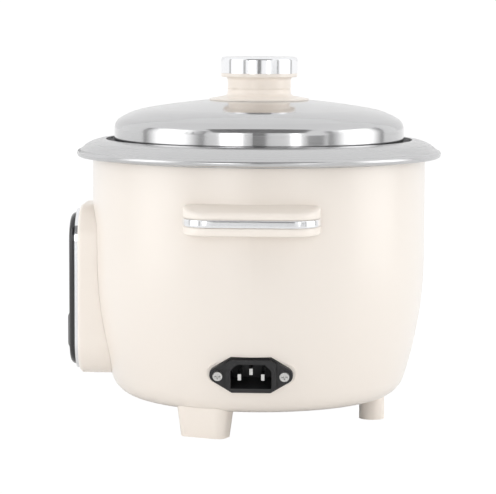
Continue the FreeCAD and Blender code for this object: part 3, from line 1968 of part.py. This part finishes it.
# Inner pot: cup, lid ledge, sloping brim, rolled bead.
pot_out = d.pot_bore + d.pot_wall
bead_r = d.rim_radius - d.bead_radius
bead_top = d.bead_height + d.bead_radius
brim_run = d.ledge_radius - bead_r
brim_climb = d.brim_height - bead_top
brim_chord = root(brim_run * brim_run + brim_climb * brim_climb)
brim_arm = leg(d.brim_bow, brim_chord / 2) / brim_chord
brim_mid = (
    bead_r + brim_run / 2 - brim_climb * brim_arm,
    bead_top + brim_climb / 2 + brim_run * brim_arm,
)
brim_under = d.brim_bow - d.pot_wall
bead_in = bead_r - d.bead_radius
step_out = d.ledge_radius + d.pot_wall


def brim_at(radius):
    """Height of the brim's underside."""
    return brim_mid[1] + leg(brim_under, radius - brim_mid[0])


node(
    "inner_pot",
    revolve(
        "inner_pot",
        [
            (0, d.pot_base),
            (d.pot_bore - d.pot_corner, d.pot_base, d.pot_corner + d.pot_wall, 1),
            (pot_out, d.pot_base + d.pot_corner + d.pot_wall),
            (pot_out, d.ledge_height - d.pot_wall),
            (step_out, d.ledge_height - d.pot_wall),
            (step_out, brim_at(step_out), brim_under, -1),
            (bead_in, brim_at(bead_in)),
            (bead_in, d.bead_height, d.bead_radius, 2),
            (bead_r, bead_top, d.brim_bow, 1),
            (d.ledge_radius, d.brim_height),
            (d.ledge_radius, d.ledge_height),
            (d.pot_bore, d.ledge_height),
            (d.pot_bore, d.pot_base + d.pot_wall + d.pot_corner, d.pot_corner, -1),
            (d.pot_bore - d.pot_corner, d.pot_base + d.pot_wall),
            (0, d.pot_base + d.pot_wall),
        ],
    ),
)

# Lid: short wall, two-radius shoulder and low crown, all tangent.
lid_seat = d.ledge_height + d.seam * 2
sine_a = d.crown_reach / d.crown_radius
cosine_a = root(as_size(1) - sine_a * sine_a)
sine_b = sine_a + (d.haunch_reach - d.crown_reach) / d.haunch_radius
cosine_b = root(as_size(1) - sine_b * sine_b)
crown_z = d.lid_top - d.crown_radius
join_a = (d.crown_reach, crown_z + d.crown_radius * cosine_a)
join_b = (d.haunch_reach, join_a[1] - d.haunch_radius * (cosine_a - cosine_b))
edge_radius = (d.lid_radius - d.haunch_reach) / (1 - sine_b)
edge_z = join_b[1] - edge_radius * cosine_b
sheet_t = d.lid_sheet


def crown_at(radius, inset=0):
    return crown_z + leg(d.crown_radius - inset, as_size(radius))


node(
    "lid_shell",
    revolve(
        "lid_shell",
        [
            (d.lid_radius - sheet_t, lid_seat),
            (d.lid_edge, lid_seat),
            (d.lid_edge, lid_seat + sheet_t),
            (d.lid_radius, lid_seat + sheet_t),
            (d.lid_radius, edge_z, edge_radius, 1),
            (*join_b, d.haunch_radius, 1),
            (*join_a, d.crown_radius, 1),
            (d.knob_hole, crown_at(d.knob_hole)),
            (d.knob_hole, crown_at(d.knob_hole, sheet_t), d.crown_radius - sheet_t, -1),
            (join_a[0] - sheet_t * sine_a, join_a[1] - sheet_t * cosine_a, d.haunch_radius - sheet_t, -1),
            (join_b[0] - sheet_t * sine_b, join_b[1] - sheet_t * cosine_b, edge_radius - sheet_t, -1),
            (d.lid_radius - sheet_t, edge_z),
        ],
    ),
)

# Knob: skirt on the lid, neck, chrome cap, one screw from below.
dome_r = d.crown_radius + d.seam
skirt_low = crown_z + leg(dome_r, d.skirt_radius)
bore_low = crown_z + leg(dome_r, d.knob_hole)
flare_r = d.neck_radius + d.flare_round * (1 - sine(d.flare_slope))
flare_z = d.neck_foot - d.flare_round * cosine(d.flare_slope)
core = d.neck_radius - d.split_depth
node(
    "knob_skirt",
    revolve(
        "knob_skirt",
        [
            (d.knob_hole, bore_low, dome_r, -1),
            (d.skirt_radius, skirt_low),
            (d.skirt_radius, skirt_low + d.skirt_edge),
            (flare_r, flare_z, d.flare_round, -1),
            (d.neck_radius, d.neck_foot),
            (d.neck_radius, d.neck_split - d.split_width / 2),
            (core, d.neck_split - d.split_width / 2),
            (core, d.neck_split),
            (d.knob_hole, d.neck_split),
        ],
    ),
)
knob_flange = d.cap_base - d.cap_flange
pilot = d.knob_screw_radius + d.seam
flange_r = d.cap_radius - d.seam * 4
node(
    "knob_body",
    revolve(
        "knob_body",
        [
            (pilot, d.neck_split),
            (core, d.neck_split),
            (core, d.neck_split + d.split_width / 2),
            (d.neck_radius, d.neck_split + d.split_width / 2),
            (d.neck_radius, d.neck_line),
            (d.neck_radius - d.line_depth, d.neck_line),
            (d.neck_radius - d.line_depth, d.neck_line + d.line_width),
            (d.neck_radius, d.neck_line + d.line_width),
            (d.neck_radius, knob_flange - d.neck_round, d.neck_round, -1),
            (d.neck_radius + d.neck_round, knob_flange),
            (flange_r - d.cap_lip, knob_flange, d.cap_lip, 1),
            (flange_r, knob_flange + d.cap_lip),
            (flange_r, d.cap_base),
            (d.cap_plug, d.cap_base),
            (d.cap_plug, d.cap_base - d.plug_depth),
            (pilot, d.cap_base - d.plug_depth),
        ],
    ),
)
node(
    "knob_cap",
    revolve(
        "knob_cap",
        [
            (0, d.cap_base - d.plug_depth + d.running_gap),
            (d.cap_plug - d.seam, d.cap_base - d.plug_depth + d.running_gap),
            (d.cap_plug - d.seam, d.cap_base),
            (d.cap_radius, d.cap_base),
            (d.cap_radius, d.cap_top - d.cap_round, d.cap_round, 1),
            (d.cap_radius - d.cap_round, d.cap_top),
            (0, d.cap_top),
        ],
    ),
)
washer_top = crown_at(d.knob_washer_radius, sheet_t) - d.seam
washer_base = washer_top - d.knob_washer_thick
node(
    "knob_washer",
    revolve(
        "knob_washer",
        [
            (d.knob_hole, washer_base),
            (d.knob_washer_radius, washer_base),
            (d.knob_washer_radius, washer_top),
            (d.knob_hole, washer_top),
        ],
    ),
)
node(
    "knob_screw",
    screw(
        "knob_screw",
        d.knob_screw_head,
        d.knob_head_height,
        d.knob_screw_radius,
        d.cap_base - d.plug_depth - d.knob_screw_tip - washer_base,
        (0, 0, washer_base),
    ),
)

doc.recompute()
bad = [o.Name for o in doc.Objects if "Invalid" in o.State or "Error" in o.State]
if bad:
    raise SystemExit(f"objects in error: {bad}")
os.makedirs("parts", exist_ok=True)
for obj in NODES:
    if obj.Shape.isNull() or not obj.Shape.isValid():
        raise SystemExit(f"bad shape: {obj.Label}")
    obj.Shape.exportStep(f"parts/{obj.Label}.step")
print(len(NODES), "parts written")
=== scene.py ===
"""Rice cooker: finishes for every piece, fuller side grips, fixed copies of the springs, camera and studio.
"""

import json
import math

import bmesh
import bpy
from mathutils import Matrix, Vector


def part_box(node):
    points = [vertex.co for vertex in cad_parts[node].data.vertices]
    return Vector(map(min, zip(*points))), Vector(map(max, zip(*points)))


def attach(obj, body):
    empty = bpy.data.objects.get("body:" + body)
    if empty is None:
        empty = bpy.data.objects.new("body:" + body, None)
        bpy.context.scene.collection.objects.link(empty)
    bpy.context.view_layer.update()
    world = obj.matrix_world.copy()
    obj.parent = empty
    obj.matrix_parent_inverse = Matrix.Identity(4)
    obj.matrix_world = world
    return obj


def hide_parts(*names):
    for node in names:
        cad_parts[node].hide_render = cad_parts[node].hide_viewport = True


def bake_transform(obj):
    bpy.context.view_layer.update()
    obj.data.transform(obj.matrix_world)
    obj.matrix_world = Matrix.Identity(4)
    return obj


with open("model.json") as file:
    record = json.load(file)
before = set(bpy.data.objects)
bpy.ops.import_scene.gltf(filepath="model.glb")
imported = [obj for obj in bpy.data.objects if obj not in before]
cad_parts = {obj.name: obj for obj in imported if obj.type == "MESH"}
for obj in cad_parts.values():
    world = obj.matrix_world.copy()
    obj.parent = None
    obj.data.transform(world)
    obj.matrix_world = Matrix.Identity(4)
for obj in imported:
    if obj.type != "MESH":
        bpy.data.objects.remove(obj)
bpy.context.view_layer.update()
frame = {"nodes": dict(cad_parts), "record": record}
nodes = frame["nodes"]
scene = bpy.context.scene

# Finishes: the range that a noise mostly keeps to, depths of relief in metres and scales of grain.
NOISE_LOW = 0.3
NOISE_HIGH = 0.7
SKIN_RELIEF = 0.0004
SAND_RELIEF = 0.0003
FINE_RELIEF = 0.0002
RING_SCALE = 2600.0
ROLLED_GRAIN = (60.0, 900.0, 900.0)


class Paint:
    """A Principled material built node by node in the object's own space."""

    def __init__(self, name):
        self.material = bpy.data.materials.new(name)
        self.material.use_nodes = True
        self.tree = self.material.node_tree
        self.shader = self.tree.nodes["Principled BSDF"]
        self.place = self.add("ShaderNodeTexCoord").outputs["Object"]

    def add(self, kind, **settings):
        made = self.tree.nodes.new(kind)
        for key, value in settings.items():
            setattr(made, key, value)
        return made

    def join(self, source, target):
        self.tree.links.new(source, target)

    def set(self, **sockets):
        """Give sockets of the shader plain values, by their names in lower case."""
        for key, value in sockets.items():
            name = key.replace("_", " ").title().replace("Ior", "IOR")
            self.shader.inputs[name].default_value = value

    def noise(self, scale, detail=3.0, source=None):
        made = self.add("ShaderNodeTexNoise")
        made.inputs["Scale"].default_value = scale
        made.inputs["Detail"].default_value = detail
        self.join(source or self.place, made.inputs["Vector"])
        return made.outputs["Fac"]

    def stretched(self, x, y, z):
        """The object's space squeezed along each axis, for grain that runs one way."""
        made = self.add("ShaderNodeMapping")
        made.inputs["Scale"].default_value = (x, y, z)
        self.join(self.place, made.inputs["Vector"])
        return made.outputs["Vector"]

    def spun(self):
        """Space that depends on the distance from the pot's axis and on height, for turned metal."""
        split = self.add("ShaderNodeSeparateXYZ")
        self.join(self.place, split.inputs["Vector"])
        flat = self.add("ShaderNodeCombineXYZ")
        self.join(split.outputs["X"], flat.inputs["X"])
        self.join(split.outputs["Y"], flat.inputs["Y"])
        length = self.add("ShaderNodeVectorMath", operation="LENGTH")
        self.join(flat.outputs["Vector"], length.inputs[0])
        both = self.add("ShaderNodeCombineXYZ")
        self.join(length.outputs["Value"], both.inputs["X"])
        self.join(split.outputs["Z"], both.inputs["Y"])
        return both.outputs["Vector"]

    def between(self, factor, low, high, socket):
        """The socket wanders between two values over the range that a noise mostly keeps to."""
        made = self.add("ShaderNodeMapRange")
        made.inputs["From Min"].default_value = NOISE_LOW
        made.inputs["From Max"].default_value = NOISE_HIGH
        made.inputs["To Min"].default_value = low
        made.inputs["To Max"].default_value = high
        self.join(factor, made.inputs["Value"])
        self.join(made.outputs["Result"], self.shader.inputs[socket])

    def tint(self, factor, one, other):
        made = self.add("ShaderNodeMix", data_type="RGBA")
        colour = [socket for socket in made.inputs if socket.type == "RGBA"]
        colour[0].default_value = (*one, 1)
        colour[1].default_value = (*other, 1)
        self.join(factor, made.inputs["Factor"])
        out = [socket for socket in made.outputs if socket.type == "RGBA"][0]
        self.join(out, self.shader.inputs["Base Color"])

    def bump(self, height, strength, distance):
        made = self.add("ShaderNodeBump")
        made.inputs["Strength"].default_value = strength
        made.inputs["Distance"].default_value = distance
        self.join(height, made.inputs["Height"])
        self.join(made.outputs["Normal"], self.shader.inputs["Normal"])


def shade(colour, amount):
    """A colour made lighter or darker."""
    return tuple(min(1.0, part * amount) for part in colour)


def moulded(name, colour, rough, peel, coat=0.0, coat_rough=0.06):
    """Enamel or plastic: an almost even colour, slightly wandering gloss and a fine skin."""
    paint = Paint(name)
    paint.set(coat_weight=coat, coat_roughness=coat_rough, specular_ior_level=0.5)
    paint.tint(paint.noise(scale=14.0), shade(colour, 0.996), shade(colour, 1.004))
    paint.between(paint.noise(scale=60.0), rough * 0.96, rough * 1.04, "Roughness")
    paint.bump(paint.noise(scale=900.0, detail=2.0), peel, SKIN_RELIEF)
    return paint.material


def spun_metal(name, colour, rough, lines):
    """Turned or polished round metal: faint rings about the pot's axis."""
    paint = Paint(name)
    paint.set(metallic=1.0)
    rings = paint.noise(scale=RING_SCALE, detail=2.0, source=paint.spun())
    paint.tint(paint.noise(scale=60.0), shade(colour, 0.98), shade(colour, 1.02))
    paint.between(rings, rough * 0.8, rough * 1.2, "Roughness")
    paint.bump(rings, lines, FINE_RELIEF)
    return paint.material


def sheet_metal(name, colour, rough):
    """Rolled or plated metal with a grain along one axis."""
    paint = Paint(name)
    paint.set(metallic=1.0)
    streak = paint.noise(scale=1.0, detail=4.0, source=paint.stretched(*ROLLED_GRAIN))
    paint.tint(paint.noise(scale=140.0), shade(colour, 0.9), shade(colour, 1.06))
    paint.between(streak, rough * 0.75, rough * 1.25, "Roughness")
    paint.bump(streak, strength=0.03, distance=FINE_RELIEF)
    return paint.material


def cast_metal(name, colour, rough, metal=1.0):
    """Sand-grained cast metal."""
    paint = Paint(name)
    paint.set(metallic=metal)
    skin = paint.noise(scale=700.0, detail=5.0)
    paint.tint(paint.noise(scale=80.0), shade(colour, 0.88), shade(colour, 1.08))
    paint.between(skin, rough * 0.85, rough * 1.15, "Roughness")
    paint.bump(skin, strength=0.25, distance=SAND_RELIEF)
    return paint.material


def tinted_lens(name, colour):
    """Clear coloured plastic over a lamp."""
    paint = Paint(name)
    paint.set(transmission_weight=0.55, ior=1.49, coat_weight=0.3)
    paint.tint(paint.noise(scale=300.0), shade(colour, 0.92), shade(colour, 1.1))
    paint.between(paint.noise(scale=500.0), 0.08, 0.16, "Roughness")
    paint.bump(paint.noise(scale=1500.0), strength=0.02, distance=FINE_RELIEF)
    return paint.material


CREAM = (0.92, 0.85, 0.776)
TRIM_CREAM = shade(CREAM, 1.05)
PAINTS = {
    "cream_enamel": moulded("cream_enamel", CREAM, rough=0.3, peel=0.015, coat=1.0, coat_rough=0.3),
    "cream_plastic": moulded("cream_plastic", TRIM_CREAM, rough=0.34, peel=0.02, coat=0.5, coat_rough=0.3),
    "chrome_trim": spun_metal("chrome_trim", (0.88, 0.885, 0.9), rough=0.12, lines=0.004),
    "polished_steel": spun_metal("polished_steel", (0.58, 0.58, 0.585), rough=0.14, lines=0.006),
    "satin_aluminium": spun_metal("satin_aluminium", (0.585, 0.585, 0.59), rough=0.25, lines=0.0015),
    "black_gloss": moulded("black_gloss", (0.012, 0.012, 0.013), rough=0.12, peel=0.01, coat=0.4),
    "black_plastic": moulded("black_plastic", (0.016, 0.016, 0.017), rough=0.42, peel=0.12),
    "zinc_steel": sheet_metal("zinc_steel", (0.66, 0.66, 0.65), rough=0.32),
    "galvanised": sheet_metal("galvanised", (0.58, 0.59, 0.6), rough=0.42),
    "cast_alloy": cast_metal("cast_alloy", (0.6, 0.6, 0.61), rough=0.48),
    "dark_metal": cast_metal("dark_metal", (0.06, 0.06, 0.065), rough=0.6, metal=0.6),
    "plated_blade": sheet_metal("plated_blade", (0.74, 0.74, 0.73), rough=0.22),
    "red_lens": tinted_lens("red_lens", (0.6, 0.03, 0.015)),
    "amber_lens": tinted_lens("amber_lens", (0.8, 0.3, 0.02)),
    "brown_lead": moulded("brown_lead", (0.09, 0.035, 0.015), rough=0.5, peel=0.06),
    "blue_lead": moulded("blue_lead", (0.02, 0.06, 0.3), rough=0.5, peel=0.06),
    "green_lead": moulded("green_lead", (0.08, 0.24, 0.03), rough=0.5, peel=0.06),
    "white_lead": moulded("white_lead", (0.72, 0.7, 0.66), rough=0.5, peel=0.06),
    "silicone": moulded("silicone", (0.62, 0.6, 0.56), rough=0.55, peel=0.05),
}


def dress(obj, name):
    """Give an object one of the materials above."""
    obj.data.materials.clear()
    obj.data.materials.append(PAINTS[name])


for part in frame["record"]["subparts"]:
    dress(nodes[part["node"]], part["material_slot"])


# Side grips: a hollow moulding with a bowed plan and a falling top, and a chrome strip let into its face.
# They stand where the plainer handles of the frame do, a little wider and lower. Sizes are in metres.
handle_low, handle_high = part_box("handle_right")
trim_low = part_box("handle_trim_right")[0]
GRIP_SETBACK = 0.0004
GRIP_WIDER = 0.0024
GRIP_LOWER = 0.0016
GRIP_TALL = 0.0178
GRIP_FRONT = handle_high.x - GRIP_SETBACK
GRIP_HALF = handle_high.y + GRIP_WIDER
GRIP_BASE = handle_low.z - GRIP_LOWER
GRIP_TOP = GRIP_BASE + GRIP_TALL
GRIP_ROOT = 0.0900
GRIP_FLAT = 0.0250
GRIP_DEEP = 0.0195
GRIP_CREST = 0.1040
GRIP_FALL = 0.0042
GRIP_DROOP = 0.0012
GRIP_EDGE = 0.0022
GRIP_WALL = 0.0022
FOOT_ROUND = 0.0010
STRIP_LOWER = 0.00105
STRIP_TALL = 0.0046
STRIP_LOW = trim_low.z - STRIP_LOWER
STRIP_HIGH = STRIP_LOW + STRIP_TALL
STRIP_GAP = 0.0003
STRIP_SINK = 0.0010
STRIP_BULGE = 0.0005
LIP_ROUND = 0.0003
LIP_SINK = 0.0002
LIP_STEP = 0.0001

# How finely the grips are divided, how flat their curves are, and how their meshes are finished.
ARC_STEPS = 24
FLAT_STEPS = 12
EDGE_STEPS = 8
TOP_STEPS = 8
BULGE_STEPS = 12
BULGE_POWER = 8
DROOP_POWER = 4
MERGE_GAP = 1e-6
SHARP_ANGLE = math.radians(80)


def grip_plan():
    """Points and outward directions along the grip's face, from one root round to the other."""
    points = [Vector((GRIP_ROOT, -GRIP_HALF))]
    back = GRIP_FRONT - GRIP_DEEP
    for step in range(ARC_STEPS + 1):
        angle = math.radians(-90 + 90 * step / ARC_STEPS)
        across = -GRIP_FLAT + (GRIP_HALF - GRIP_FLAT) * math.sin(angle)
        points.append(Vector((back + GRIP_DEEP * math.cos(angle), across)))
    bend = list(points)
    for step in range(1, FLAT_STEPS):
        points.append(Vector((GRIP_FRONT, -GRIP_FLAT + 2 * GRIP_FLAT * step / FLAT_STEPS)))
    points += [Vector((point.x, -point.y)) for point in reversed(bend)]
    outs = []
    for index, point in enumerate(points):
        before = points[max(index - 1, 0)]
        after = points[min(index + 1, len(points) - 1)]
        run = (after - before).normalized()
        outs.append(Vector((run.y, -run.x)))
    return points, outs


def grip_height(x, y):
    """Height of the grip's top: level near the drum, then falling to the front and a little to the ends."""
    fall = GRIP_FALL * max(0.0, x - GRIP_CREST) / (GRIP_FRONT - GRIP_CREST)
    return GRIP_TOP - fall - GRIP_DROOP * abs(y / GRIP_HALF) ** DROOP_POWER


def sheet_mesh(name, rows, closed=False):
    """A mesh from rows of points, joined row to row. A closed one is a bar with flat ends."""
    long = len(rows[0])
    points = [tuple(point) for row in rows for point in row]
    faces = []
    last = len(rows) if closed else len(rows) - 1
    for i in range(last):
        k = (i + 1) % len(rows)
        for j in range(long - 1):
            faces.append((i * long + j, i * long + j + 1, k * long + j + 1, k * long + j))
    if closed:
        faces.append([i * long for i in range(len(rows))])
        faces.append([i * long + long - 1 for i in reversed(range(len(rows)))])
    mesh = bpy.data.meshes.new(name)
    mesh.from_pydata(points, [], faces)
    joined = bmesh.new()
    joined.from_mesh(mesh)
    bmesh.ops.remove_doubles(joined, verts=joined.verts, dist=MERGE_GAP)
    joined.to_mesh(mesh)
    joined.free()
    mesh.shade_smooth()
    if closed:
        mesh.set_sharp_from_angle(angle=SHARP_ANGLE)
    obj = bpy.data.objects.new(name, mesh)
    scene.collection.objects.link(obj)
    return obj


def grip_rows(side):
    """Rows of the grip's outer skin: foot, face with the strip's channel, rounded edge, top.

    The top ends on an arc about the drum's axis, behind the drum's wall.
    """
    plan, outs = grip_plan()
    rows = []

    def row(inset, height):
        made = []
        for point, out in zip(plan, outs):
            at = point - out * inset
            z = height(at) if callable(height) else height
            made.append((side * at.x, side * at.y, z))
        rows.append(made)

    row(0.9 * FOOT_ROUND, GRIP_BASE)
    row(0.3 * FOOT_ROUND, GRIP_BASE + 0.3 * FOOT_ROUND)
    row(0.0, GRIP_BASE + FOOT_ROUND)
    low = STRIP_LOW - STRIP_GAP
    high = STRIP_HIGH + STRIP_GAP
    row(0.0, low - LIP_ROUND)
    row(LIP_SINK, low)
    row(STRIP_SINK, low + LIP_STEP)
    row(STRIP_SINK, high - LIP_STEP)
    row(LIP_SINK, high)
    row(0.0, high + LIP_ROUND)
    for step in range(EDGE_STEPS + 1):
        angle = math.radians(90 * step / EDGE_STEPS)
        inset = GRIP_EDGE * (1 - math.cos(angle))
        drop = GRIP_EDGE * (1 - math.sin(angle))
        row(inset, lambda at, drop=drop: grip_height(at.x, at.y) - drop)
    seat = math.hypot(GRIP_ROOT, GRIP_HALF - GRIP_EDGE)
    edge = [point - out * GRIP_EDGE for point, out in zip(plan, outs)]
    for step in range(1, TOP_STEPS + 1):
        share = step / TOP_STEPS
        made = []
        for point in edge:
            root = math.sqrt(seat ** 2 - point.y ** 2)
            x = point.x + (root - point.x) * share
            made.append((side * x, side * point.y, grip_height(x, point.y)))
        rows.append(made)
    return rows


def strip_rows(side):
    """Rows round the strip's own section, a low bulge with rolled edges."""
    plan, outs = grip_plan()
    plan, outs = plan[1:-1], outs[1:-1]
    middle = (STRIP_LOW + STRIP_HIGH) / 2
    half = (STRIP_HIGH - STRIP_LOW) / 2
    section = [(-STRIP_SINK, -half), (0.0, -half)]
    for step in range(-BULGE_STEPS, BULGE_STEPS + 1):
        up = step / BULGE_STEPS
        section.append((STRIP_BULGE * (1 - up ** BULGE_POWER), half * up))
    section += [(0.0, half), (-STRIP_SINK, half)]
    rows = []
    for proud, up in section:
        made = []
        for point, out in zip(plan, outs):
            at = point + out * proud
            made.append((side * at.x, side * at.y, middle + up))
        rows.append(made)
    return rows


for hand, side in (("right", 1), ("left", -1)):
    grip = sheet_mesh("grip_" + hand, grip_rows(side))
    wall = grip.modifiers.new("wall", "SOLIDIFY")
    wall.thickness = GRIP_WALL
    wall.offset = -1.0
    dress(grip, "cream_plastic")
    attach(grip, "base")
    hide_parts("handle_" + hand)
    strip = sheet_mesh("grip_strip_" + hand, strip_rows(side), closed=True)
    dress(strip, "chrome_trim")
    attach(strip, "base")
    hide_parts("handle_trim_" + hand)

# Springs: each is listed with the pieces its ends press on, which nothing here uses; the coil is a fixed
# copy of the frame's spring with its placement baked in, and the frame's own spring is hidden.
COILS = (("sensor_spring", "base", "sensor"), ("plunger_spring", "plunger", "sensor"))
for node, lower, upper in COILS:
    coil = bpy.data.objects.new(node + "_coil", nodes[node].data.copy())
    scene.collection.objects.link(coil)
    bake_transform(coil)
    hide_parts(node)

# Camera: a little higher than the knob, beside the right grip and slightly to the rear, looking down at it.
# The focal length is in pixels of the picture's width, lengths are in metres and angles in radians.
PICTURE_WIDE = 496
FOCAL = 2243.0
AROUND = math.radians(2.4)
DISTANCE = 1.421
HEIGHT = 0.255
PITCH = 0.1023
ROLL = 0.0045
YAW = 0.0047

camera = bpy.data.objects.new("camera", bpy.data.cameras.new("camera"))
scene.collection.objects.link(camera)
scene.camera = camera
camera.data.sensor_fit = "HORIZONTAL"
camera.data.sensor_width = 36.0
camera.data.lens = FOCAL * camera.data.sensor_width / PICTURE_WIDE
spot = Vector((DISTANCE * math.cos(AROUND), DISTANCE * math.sin(AROUND), HEIGHT))
heading = AROUND + math.pi + YAW
ahead = Vector((
    math.cos(PITCH) * math.cos(heading),
    math.cos(PITCH) * math.sin(heading),
    -math.sin(PITCH),
))
right = ahead.cross(Vector((0, 0, 1))).normalized()
above = right.cross(ahead)
turned_right = right * math.cos(ROLL) + above * math.sin(ROLL)
turned_above = above * math.cos(ROLL) - right * math.sin(ROLL)
axes = Matrix((turned_right, turned_above, -ahead)).transposed().to_4x4()
camera.matrix_world = Matrix.Translation(spot) @ axes


def aimed(obj, at, aim, front):
    """Put an object at a point with its front towards another point."""
    facing = Vector(aim) - Vector(at)
    turn = facing.to_track_quat(front, "Y").to_matrix().to_4x4()
    obj.matrix_world = Matrix.Translation(Vector(at)) @ turn


def beside(degrees, reach, height):
    """A point at an angle from the camera's own direction, positive towards the rear."""
    angle = AROUND + math.radians(degrees)
    return (reach * math.cos(angle), reach * math.sin(angle), height)


def lamp(name, at, aim, wide, tall, level):
    """A soft rectangular lamp of a given brightness."""
    light = bpy.data.lights.new(name, "AREA")
    light.shape = "RECTANGLE"
    light.size = wide
    light.size_y = tall
    light.energy = level * math.pi * wide * tall
    obj = bpy.data.objects.new(name, light)
    scene.collection.objects.link(obj)
    aimed(obj, at, aim, "-Z")


def panel(name, at, aim, wide, tall):
    """A flat panel that stands outside the object and shows only in what it lights or darkens."""
    mesh = bpy.data.meshes.new(name)
    across = wide / 2
    up = tall / 2
    corners = [(-across, -up, 0), (across, -up, 0), (across, up, 0), (-across, up, 0)]
    mesh.from_pydata(corners, [], [(0, 1, 2, 3)])
    obj = bpy.data.objects.new(name, mesh)
    scene.collection.objects.link(obj)
    paint = Paint(name)
    mesh.materials.append(paint.material)
    obj.visible_camera = False
    aimed(obj, at, aim, "Z")
    return obj, paint


def card(name, at, aim, wide, tall, level):
    """A matt panel of an almost even grey."""
    obj, paint = panel(name, at, aim, wide, tall)
    grey = (level, level, level)
    paint.set(roughness=0.9)
    paint.tint(paint.noise(scale=3.0), shade(grey, 0.97), shade(grey, 1.03))
    return obj, paint


# The share of a softbox's width over which its light fades, and what is left of it at the edge.
SOFT_FADE = 0.8
SOFT_EDGE = 0.15


def softbox(name, at, aim, wide, tall, level):
    """A glowing panel whose light falls away towards its upright edges."""
    paint = panel(name, at, aim, wide, tall)[1]
    parts = paint.add("ShaderNodeSeparateXYZ")
    paint.join(paint.place, parts.inputs["Vector"])
    aside = paint.add("ShaderNodeMath", operation="ABSOLUTE")
    paint.join(parts.outputs["X"], aside.inputs[0])
    fall = paint.add("ShaderNodeMapRange", interpolation_type="SMOOTHSTEP")
    fall.inputs["From Min"].default_value = wide / 2 * (1 - SOFT_FADE)
    fall.inputs["From Max"].default_value = wide / 2
    fall.inputs["To Min"].default_value = level
    fall.inputs["To Max"].default_value = level * SOFT_EDGE
    paint.join(aside.outputs["Value"], fall.inputs["Value"])
    light = paint.add("ShaderNodeEmission")
    paint.join(fall.outputs["Result"], light.inputs["Strength"])
    paint.join(light.outputs["Emission"], paint.tree.nodes["Material Output"].inputs["Surface"])


# Lights and cards: name, place, the point faced, width, height and brightness.
softbox("left_softbox", beside(-71, 1.2, 0.42), (0, 0, 0.42), 1.35, 0.84, 2.18)
softbox("right_softbox", beside(83, 1.2, 0.42), (0, 0, 0.42), 1.35, 0.84, 2.3)
lamp("left_strip", beside(-21, 2.0, 0.3), (0, 0, 0.3), 0.6, 0.9, 1.9)
lamp("right_strip", beside(28, 2.0, 0.3), (0, 0, 0.3), 0.26, 0.9, 1.9)
card("dark_card", beside(-1, 2.1, 0.3), (0, 0, 0.3), 0.5, 1.2, 0.3)
card("grey_card", beside(44, 2.0, 0.066), (0, 0, 0.066), 0.5, 0.13, 0.3)
card("dark_brow", beside(0, 1.5, 1.3), (0, 0, 0.2), 2.6, 1.15, 0.26)
card("back_card", beside(180, 2.2, 1.1), (0, 0, 0.2), 4.4, 2.0, 0.98)

# The floor is white to the camera and keeps only a trace of the contact shadow.
FLOOR_DROP = 0.0001
FLOOR_GLOW = 1.04
FLOOR_SHARE = 0.97
floor, floor_paint = card("floor", (0, 0, -FLOOR_DROP), (0, 0, 1), 6.0, 6.0, 0.94)
floor.visible_camera = True
glow = floor_paint.add("ShaderNodeEmission")
glow.inputs["Color"].default_value = (1, 1, 1, 1)
glow.inputs["Strength"].default_value = FLOOR_GLOW
seen = floor_paint.add("ShaderNodeLightPath")
share = floor_paint.add("ShaderNodeMath", operation="MULTIPLY")
share.inputs[1].default_value = FLOOR_SHARE
floor_paint.join(seen.outputs["Is Camera Ray"], share.inputs[0])
blend = floor_paint.add("ShaderNodeMixShader")
floor_paint.join(share.outputs["Value"], blend.inputs["Fac"])
floor_paint.join(floor_paint.shader.outputs["BSDF"], blend.inputs[1])
floor_paint.join(glow.outputs["Emission"], blend.inputs[2])
surface = floor_paint.tree.nodes["Material Output"].inputs["Surface"]
floor_paint.join(blend.outputs["Shader"], surface)

# The room: pale walls under a slightly greyer ceiling.
ROOM = [(0.0, 1.0), (0.45, 1.0), (0.7, 0.98), (1.0, 0.94)]
ROOM_LEVEL = 1.05
world = bpy.data.worlds.new("studio")
scene.world = world
world.use_nodes = True
tree = world.node_tree
back = tree.nodes["Background"]
back.inputs["Strength"].default_value = ROOM_LEVEL
path = tree.nodes.new("ShaderNodeLightPath")
toward = tree.nodes.new("ShaderNodeTexCoord")
split = tree.nodes.new("ShaderNodeSeparateXYZ")
ramp = tree.nodes.new("ShaderNodeValToRGB")
mix = tree.nodes.new("ShaderNodeMix")
mix.data_type = "RGBA"
stops = ramp.color_ramp.elements
while len(stops) < len(ROOM):
    stops.new(0.5)
for stop, (height, level) in zip(stops, ROOM):
    stop.position = height
    stop.color = (level, level, level, 1)
colours = [socket for socket in mix.inputs if socket.type == "RGBA"]
colours[1].default_value = (1, 1, 1, 1)
tree.links.new(toward.outputs["Generated"], split.inputs["Vector"])
tree.links.new(split.outputs["Z"], ramp.inputs["Fac"])
tree.links.new(ramp.outputs["Color"], colours[0])
tree.links.new(path.outputs["Is Camera Ray"], mix.inputs["Factor"])
mixed = [socket for socket in mix.outputs if socket.type == "RGBA"][0]
tree.links.new(mixed, back.inputs["Color"])

scene.view_settings.view_transform = "Standard"
